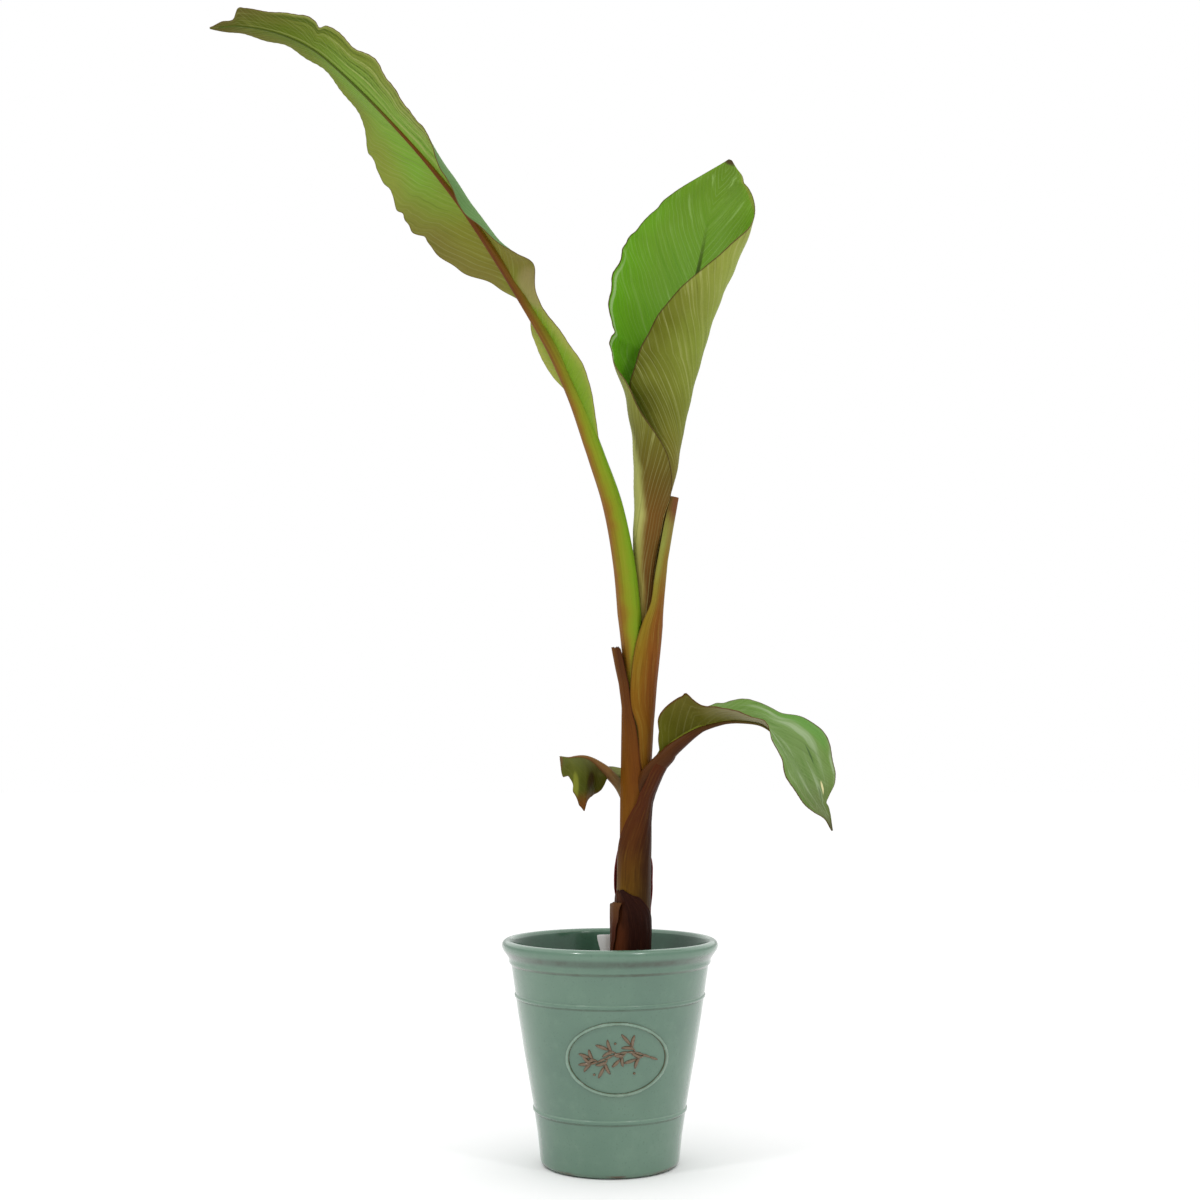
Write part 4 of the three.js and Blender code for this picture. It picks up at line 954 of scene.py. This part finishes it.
newUpperLook = dict({k: v for k, v in newUnderLook.items() if k != "otherHalf"},
    ribRamp=[(0.0, "#5e9c12"), (0.4, "#6aa41e"), (0.65, "#709c2c"), (0.85, "#688e22"), (1.0, "#587618")],
    edgeRamp=[(0.0, "#58a00e"), (0.4, "#62a616"), (0.75, "#6ca61e"), (1.0, "#6e8a22")], pale="#a0c270", paleShare=0.6,
    deep="#478210", deepShare=0.4, streaks=80, ribLine=("#33400c", 0.03, 0.85), veinColour="#a4c67c", veinShare=0.25,
    veinPitch=10, rough=0.42, gloss=0.14,
    # first spot: pale band along the curled left margin, a painted highlight
    spots=[(0.42, -0.94, 0.24, 0.03, 0.6, "#b8d098"), (1.0, 0, 0.014, 1.6, 0.9, "#43281a"),
        (0.93, 0.95, 0.06, 0.1, 0.6, "#8a8a3c")])
leafPiece("newLeafCornet", newLeaf, ["new_leaf_blade", "new_leaf_roll"],
          "newLeaf", newUpperLook, newUnderLook)
newRibLook = dict(bigStalkLook, tip=(0.8, 1.0, "#6a9434"), lowRamp=[(0.0, "#6c6a2a"), (0.5, "#745c28"), (1.0, "#6c6a2a")],
    highRamp=[(0.0, "#5f8a2c"), (0.5, "#84803c"), (1.0, "#5f8a2c")])
newRib = {"low": [], "face": (0, -1, 0), "places": (-0.42, 0.985, 60), "rows": 160, "columns": 20,
    "groove": [(0, 0.1), (1, 0.1)], "keel": [(-0.42, 0.5), (-0.2, 1.6), (0, 2.4), (0.5, 1.9), (1, 0.7)]}
stalkPiece("newLeafMidrib", newLeaf, newRib, [], "blade_green", "newMidribSkin", newRibLook)


# low leaf on the right: dark sheath and stalk, then a blade that turns over and hangs
rightLeaf = {"grid": (220, 26),
    "rib": [(58, -21, 449), (65, -22, 456), (96, -24, 474), (122, -24, 482), (146, -24, 484), (173, -26, 478),
        (199, -32, 449), (222, -40, 407), (237, -44, 380), (243, -46, 363)],
    "alongFloor": -0.15,
    "face": [(-0.13, -0.55, -0.1, 0.8), (0, -0.45, -0.1, 0.9), (0.29, 0, -0.05, 1), (0.44, 0.3, -0.4, 0.8),
        (0.62, 0.42, -0.82, 0.4), (1, 0.42, -0.82, 0.3)],
    "rootRib": [(43, -14, 424), (50, -19, 437)],
    "right": [(-0.13, 0.8, 75, 75, 75), (-0.03, 1, 80, 80, 80), (0, 4, 82, 82, 82), (0.03, 15, 84, 84, 84),
        (0.06, 30, 85, 85, 85), (0.1, 37, 82, 85, 88), (0.15, 41, 78, 82, 84), (0.18, 41.5, 72, 76, 76),
        (0.22, 37, 40, 40, 35), (0.27, 40, 28, 28, 25), (0.365, 42, 18, 20, 22), (0.47, 42, 30, 33, 34),
        (0.55, 38, 34, 33, 31), (0.625, 37, 36, 32, 28), (0.72, 41, 34, 28, 22), (0.81, 35, 30, 24, 18),
        (0.9, 19, 24, 20, 16), (0.95, 6, 20, 20, 20), (1, 0.8, 0, 0, 0)],
    "left": [(-0.13, 2, 30, 30, 30), (0, 6, 30, 30, 30), (0.05, 15, 30, 30, 30), (0.17, 36, 30, 30, 25),
        (0.27, 37, 35, 30, 25), (0.365, 39, 30, 28, 22), (0.47, 34, 20, 16, 10), (0.55, 55, 10, 0, -10),
        (0.625, 62, 6, -4, -12), (0.72, 51, 4, -4, -10), (0.81, 38, 4, -4, -10), (0.88, 13, 0, 0, 0), (0.94, 5, 0, 0, 0),
        (1, 0.8, 0, 0, 0)],
    "rightLobes": [(0.19, 5, 0.008), (0.585, -5, 0.03)],
    "leftLobes": [(0.29, 4, 0.02), (0.5, -6, 0.03), (0.84, 3, 0.02), (0.885, -3, 0.012)],
    "scallop": {"share": 0.012, "count": 6}, "ripple": {"height": 1.0, "count": 7, "phase": 0.9, "from": 0.2},
    "pleat": {"depth": 0.15, "pitch": 8}, "sweep": [(0, 0.6), (0.5, 1.2), (1, 2.2)], "blade": 0.7,
    "keelDepth": [(0, 0.6), (0.3, 0.6), (0.45, 1.15), (1, 1.2)]}
lowUnderLook = dict(bigUnderLook,
    ribRamp=[(0.0, "#55560f"), (0.12, "#4c4a0e"), (0.3, "#5c5a1c"), (0.45, "#7a7450"), (0.6, "#5c5e28"), (1.0, "#584a22")],
    edgeRamp=[(0.0, "#5a5a14"), (0.1, "#525012"), (0.22, "#645e24"), (0.32, "#7f7850"), (0.5, "#8a845c"), (0.6, "#66622e"),
        (1.0, "#584022")],
    pale="#8a8650", deep="#3a380c", paleShare=0.3, veinColour="#8c8858", veinPitch=9, finePitch=1.6, marginColour="#54260f",
    marginFrom=0.92, marginShare=0.9, ribLine=("#8c9432", 0.09, 0.42), foldShare=0.15, foldHighlight="#7c7848", spots=[])
lowUpperLook = dict(bigUpperLook,
    ribRamp=[(0.0, "#57641c"), (0.3, "#5c7c26"), (0.5, "#6c8a48"), (0.75, "#6a8448"), (0.92, "#5f6c3c"), (0.97, "#4a4424"),
        (1.0, "#38200f")],
    edgeRamp=[(0.0, "#5c6424"), (0.3, "#5e7e2c"), (0.5, "#648a38"), (0.75, "#6a8640"), (0.9, "#5f6e36"), (1.0, "#402612")],
    pale="#98a878", deep="#42541c", veinColour="#9aaa78", veinPitch=7, veinShare=0.15, finePitch=1.6, rough=0.46,
    gloss=0.14, marginColour="#4a2210", marginFrom=0.945, marginShare=0.9, folds=4.5, foldFrom=0.3, foldSide=1.2,
    foldShare=0.6, foldHighlight="#a4b690", foldShade="#52762c",
    # second spot: painted shade in a crease of the hanging blade
    spots=[(0.822, -0.4, 0.028, 0.04, 1, "#d8d09a"), (0.675, -0.38, 0.04, 0.022, 0.7, "#39522c"),
        (0.86, -0.25, 0.05, 0.05, 0.6, "#445a2a"), (0.58, -0.85, 0.1, 0.2, 0.5, "#559030")])
leafPiece("rightLeafBlade", rightLeaf, ["right_leaf_blade_inner", "right_leaf_blade_outer"],
          "lowLeaf", lowUpperLook, lowUnderLook)
darkRibLook = dict(bigStalkLook, tip=(0.7, 0.9, "#5c5420"), lowRamp=[(0.0, "#54300f"), (0.5, "#40200c"), (1.0, "#54300f")],
    highRamp=[(0.0, "#6c7030"), (0.4, "#58380c"), (0.6, "#4c2a0a"), (1.0, "#6c7030")], pale="#64401e", deep="#260f06")
rightRib = {"low": [((36, -5, 388), 7), ((37.5, -8, 408), 10), ((45, -15, 426), 11.6)], "face": (-0.5, 0, 0.85),
    "places": (0, 0.985, 40), "keel": [(0, 10.4), (0.1, 7.2), (0.2, 3.6), (0.3, 2.4), (0.5, 1.4), (0.8, 1.0), (1, 0.6)],
    "rows": 220, "columns": 32, "groove": [(0, 0), (0.15, 0.3), (0.4, 0.25), (1, 0)]}
stalkPiece("rightLeafMidrib", rightLeaf, rightRib, [], "sheath_dark", "darkMidribSkin", darkRibLook)

rightLeafStalk = {"stations": [(soilTop, 17, 19.6, 181, 440), (300, 16.6, 19.2, 181, 440), (333, 16.9, 19.3, 190, 440),
        (352, 17, 19.4, 208, 440), (370, 17, 19.3, 236, 436), ((29.3, -1, 392), 16.9, 19.5, 266, 415),
        ((33.5, -4, 405), 15.5, 18.4, 264, 405), ((38.5, -8, 414.5), 13.7, 16.9, 260, 405),
        ((47, -15.5, 427), 10.6, 13.7, 250, 430), ((56, -19.5, 437.5), 8.8, 10.1, 240, 440)],
    "rows": 160, "columns": 72, "thin": 8, "lip": 0.3, "ribs": 8, "ribDepth": 0.15, "bulge": 0.12, "edgeWave": 0.8,
    "edgeCount": 5, "ragged": [(0, 0), (1, 0)], "torn": 0.0, "raggedReach": 0.02}
darkStalkLook = {"ramp": [(0.0, "#786218"), (0.2, "#785e18"), (0.38, "#65440f"), (0.55, "#522c0e"), (0.75, "#4e2610"),
        (1.0, "#4c240f")],
    # sideRamp: painted shade on the stalk's right-hand side
    "sideRamp": [(0.0, "#40320e"), (0.25, "#422c0a"), (0.45, "#361c08"), (0.6, "#301408"), (0.8, "#321409"),
        (1.0, "#3a190a")],
    "sideFrom": 0.22, "sideTo": 0.5, "fibres": 44, "fibreLength": 6, "pale": "#7a5c24", "deep": "#260f06",
    "marginFrom": 0.95, "marginShare": 0.6, "marginColour": "#551f10", "insideColour": "#4c3a12", "rough": 0.4, "bump": 0.3}
sheathPiece("rightLeafStalk", rightLeafStalk, ["right_leaf_stalk"], "darkStalkSkin", darkStalkLook)


# small curled leaf on the left, its stalk coming round from behind
smallLeaf = {"grid": (150, 24), "rootRib": [(11, 18, 416), (4, 15.5, 423)], "alongFloor": -0.2,
    "rib": [(-2, 12, 428.5), (-13, 7, 436.3), (-19, 3, 440), (-26, -3, 443), (-33, -8, 444), (-39.5, -12, 443.6),
        (-46, -15, 442.6), (-56, -18, 444)],
    "face": [(-0.2, 0.5, -0.1, 0.85), (0, 0.5, -0.1, 0.85), (0.25, 0.2, -0.1, 1), (0.5, 0, 0, 1), (1, 0, 0, 1)],
    "left": [(-0.2, 2, -50, -60, -60), (-0.04, 5, -55, -80, -86), (0, 10.5, -55, -85, -88), (0.03, 15.7, -55, -85, -88),
        (0.085, 22, -55, -85, -88), (0.175, 29, -55, -85, -90), (0.26, 34.7, -55, -85, -92), (0.335, 38.6, -55, -85, -92),
        (0.41, 44, -55, -85, -90), (0.486, 50.4, -55, -85, -88), (0.53, 58, -55, -85, -86), (0.55, 62.5, -55, -85, -86),
        (0.58, 59.6, -55, -85, -86), (0.637, 54, -55, -84, -86), (0.7, 43.8, -55, -82, -86), (0.765, 33.7, -55, -80, -84),
        (0.815, 24.5, -55, -78, -82), (0.835, 21.5, -55, -76, -80), (0.86, 22.3, -55, -74, -78), (0.9, 23.5, -55, -72, -78),
        (0.94, 19, -55, -72, -78), (0.98, 11, -55, -70, -76), (1, 3, -50, -60, -60)],
    "right": [(-0.2, 13, 75, 75, 75), (-0.1, 13, 72, 72, 72), (0, 8, 60, 60, 60), (0.1, 4, 20, 20, 20),
        (0.3, 5, -45, -55, -60), (0.7, 5, -50, -60, -65), (0.9, 4, -40, -45, -50), (1, 1.5, 0, 0, 0)],
    "slant": [(-0.2, 0.5), (0.1, 0.53), (0.175, 0.5), (0.26, 0.42), (0.335, 0.35), (0.41, 0.23), (0.486, 0.12), (0.55, 0.0),
        (0.637, -0.16), (0.72, -0.27), (0.765, -0.28), (0.815, -0.2), (0.85, -0.12), (1, 0.05)],
    "scallop": {"share": 0.0, "count": 5}, "ripple": {"height": 0.8, "count": 2.5, "phase": 0.9, "from": 0.2},
    "pleat": {"depth": 0.12, "pitch": 6}, "sweep": [(0, -1.2), (0.5, -0.8), (1, -0.4)], "blade": 0.6,
    "keelDepth": [(0, 0.2), (1, 0.2)]}
smallUpperLook = dict({k: v for k, v in lowUpperLook.items() if not k.startswith("fold")},
    ribRamp=[(0.0, "#645a2a"), (0.3, "#66643a"), (0.6, "#5c6030"), (1.0, "#545c18")],
    edgeRamp=[(0.0, "#4a4c0e"), (0.25, "#383804"), (0.45, "#363604"), (0.65, "#484e08"), (0.8, "#525612"),
        (1.0, "#4c4e14")],
    edgeFrom=-0.1, edgeTo=0.5, pale="#6a6a2c", deep="#302c08", veinColour="#74703a", marginColour="#5a3418",
    lowBand=(0.409, 0.39, "#6e3c0e"),
    # first two spots: painted shade in the hollow of the blade and under the midrib
    spots=[(0.43, -0.55, 0.1, 0.2, 0.75, "#2c1a05"), (0.2, -0.2, 0.12, 0.12, 0.5, "#3a360a"),
        (0.72, -0.75, 0.06, 0.3, 0.6, "#868a2c"), (0.99, -0.5, 0.05, 1, 0.6, "#6a4428"),
        (-0.1, 0.7, 0.12, 0.75, 0.95, "#a0ab6a")])
smallUnderLook = dict(lowUnderLook, ribRamp=[(0.0, "#6e5426"), (0.4, "#3e3a0c"), (1.0, "#442810")],
    edgeRamp=[(0.0, "#6e582c"), (0.4, "#423c0e"), (1.0, "#3e240e")], pale="#666030", deep="#2a2408")
leafPiece("smallLeafBlade", smallLeaf, ["left_small_leaf_blade"], "smallLeaf", smallUpperLook, smallUnderLook)
smallStalk = {"low": [((26.6, 17, 357), 1.6), ((26, 20.4, 370), 4.8), ((23.4, 22.4, 383), 6.5), ((20.4, 22.2, 393), 6.6),
        ((12, 19.5, 411), 6.6)],
    "keel": [(0, 6.2), (0.1, 5.6), (0.22, 4.5), (0.34, 3.5), (0.49, 2.3), (0.62, 1.6), (0.75, 1), (1, 0.5)],
    "face": (0.5, -0.1, 0.85), "places": (0, 0.985, 30), "rows": 150, "columns": 28,
    "groove": [(0, 0.0), (0.3, 0.35), (0.5, 0.3), (0.8, 0), (1, 0)]}
smallStalkLook = dict(bigStalkLook, tip=(0.9, 1.0, "#6c6a3c"),
    lowRamp=[(0.0, "#8a8456"), (0.3, "#7f6a40"), (0.5, "#745430"), (0.65, "#7c6640"), (0.85, "#8c8660"), (1.0, "#8a8456")],
    highRamp=[(0.0, "#74502c"), (0.3, "#6b4a26"), (0.5, "#64401f"), (0.7, "#74502a"), (0.85, "#7c5a30"), (1.0, "#74502c")],
    pale="#a39668", deep="#5a3a1c")
stalkPiece("smallLeafStalk", smallLeaf, smallStalk, ["left_small_leaf_stalk"], "stem_flesh",
           "smallStalkSkin", smallStalkLook)


# stumps of old sheaths round the foot of the stem
stumpFront = {"stations": [(soilTop, 20.2, 22.4, 196, 346), (262, 20.1, 22.2, 196, 344), (278, 20, 22, 196, 316),
        (289, 20, 21.8, 197, 288), (297, 20, 21.6, 201, 246)],
    "rows": 90, "columns": 64, "thin": 8, "lip": 0.4, "ribs": 7, "ribDepth": 0.2, "bulge": 0.25, "edgeWave": 1.5,
    "edgeCount": 4, "ragged": [(0, 3), (0.15, 0), (0.3, 3), (0.6, 0), (0.8, 1.5), (1, 5)], "torn": 1.2, "raggedReach": 0.12}
stumpLook = {"ramp": [(0.0, "#50260f"), (0.4, "#5c2e16"), (0.8, "#42200f"), (1.0, "#4a2c18")],
    # sideRamp: the stump's own dark brown, deepened by painted shade on its right-hand side
    "sideRamp": [(0.0, "#25100a"), (0.5, "#2a110a"), (1.0, "#2c130c")], "sideFrom": 0.22, "sideTo": 0.5, "fibres": 36,
    "fibreLength": 4, "pale": "#5c3420", "deep": "#170805", "marginFrom": 0.95, "marginShare": 0.7,
    "marginColour": "#4e2214", "insideColour": "#241008", "rough": 0.45, "bump": 0.45}
sheathPiece("stumpFront", stumpFront, ["base_sheath_front"], "stumpSkin", stumpLook)
stumpLeft = dict(stumpFront,
    stations=[(soilTop, 20.2, 22.4, 149, 196), (230, 22.6, 24, 149, 210), (284, 23.2, 26.2, 153, 238)], rows=60, columns=32,
    ribs=3, ragged=[(0, 7), (0.35, 4), (0.75, 0), (1, 1)], torn=0.8)
stumpLeftLook = dict(stumpLook, ramp=[(0.0, "#4a2c14"), (0.6, "#64481f"), (1.0, "#74582c")],
    sideRamp=[(0.0, "#42200f"), (0.6, "#54281a"), (1.0, "#6a4424")], pale="#7e6438", deep="#3a2010", insideColour="#3a2412",
    sideFrom=0.35, sideTo=0.6)
sheathPiece("stumpLeft", stumpLeft, ["base_sheath_left"], "stumpLeftSkin", stumpLeftLook)
stumpBack = dict(stumpFront,
    stations=[(soilTop, 20, 21.6, 18, 146), (276, 20, 21.6, 18, 146), (298, 20.4, 22.7, 18, 166),
        (320, 20.4, 22.7, 20, 166), (340, 20.1, 21.4, 32, 150)],
    rows=100, ragged=[(0, 4), (0.3, 0), (0.6, 3), (1, 2)], torn=1.0)
stumpBackLook = dict(stumpLook, ramp=[(0.0, "#4c2413"), (0.6, "#5e3018"), (1.0, "#6c4426")],
    sideRamp=[(0.0, "#40200f"), (1.0, "#5e3a20")], pale="#7c4c30", deep="#2c120a", insideColour="#7c2c2a", marginFrom=0.6,
    marginShare=1.0, marginColour="#842e2c")
sheathPiece("stumpBack", stumpBack, ["base_sheath_back"], "stumpBackSkin", stumpBackLook)


# plain pale floor and soft studio light
studio = {"floorSize": 40, "floorLevel": -0.0004, "floorRamp": [(0.3, "#f6f6f6"), (0.7, "#f9f9f9")], "floorRough": 0.85,
    "floorGloss": 0.1, "ambient": 0.66, "sunFrom": (0.05, 0.9, 2.4), "sunPower": 1.5, "sunSpread": 120,
    "lights": [((-1.05, -1.1, 1.95), 0.25, 7), ((0.95, -1.25, 1.95), 0.22, 6.5)], "aim": (0, 0, 0.35)}


def setStudio():
    deselectAll()
    bpy.ops.mesh.primitive_plane_add(size=studio["floorSize"], location=(0, 0, studio["floorLevel"]))
    floor = bpy.context.object
    floor.name = "studioFloor"
    material, tree, shader = startFinish("floorPaint")
    colour = ramp(tree, noise(tree, objectPlace(tree), 3, 4), studio["floorRamp"])
    tree.links.new(colour, shader.inputs["Base Color"])
    shader.inputs["Roughness"].default_value = studio["floorRough"]
    shader.inputs["Specular IOR Level"].default_value = studio["floorGloss"]
    floor.data.materials.append(material)
    world = bpy.data.worlds.new("studioWorld")
    world.use_nodes = True
    sky = world.node_tree
    sky.nodes["Background"].inputs["Color"].default_value = (1, 1, 1, 1)
    seen = addNode(sky, "ShaderNodeLightPath").outputs["Is Camera Ray"]  # white behind the plant, softer as light
    strength = sums(sky, "ADD", times(sky, seen, 1 - studio["ambient"]), studio["ambient"])
    sky.links.new(strength, sky.nodes["Background"].inputs["Strength"])
    bpy.context.scene.world = world
    bpy.ops.object.light_add(type="SUN", location=studio["sunFrom"])
    sun = bpy.context.object
    sun.data.energy = studio["sunPower"]
    sun.data.angle = math.radians(studio["sunSpread"])
    sun.rotation_euler = (-Vector(studio["sunFrom"])).to_track_quat("-Z", "Y").to_euler()
    for place, size, power in studio["lights"]:
        bpy.ops.object.light_add(type="AREA", location=place)
        lamp = bpy.context.object
        lamp.data.shape = "SQUARE"
        lamp.data.size = size
        lamp.data.energy = power
        lamp.rotation_euler = (Vector(studio["aim"]) - Vector(place)).to_track_quat("-Z", "Y").to_euler()


setStudio()
print("studio set")

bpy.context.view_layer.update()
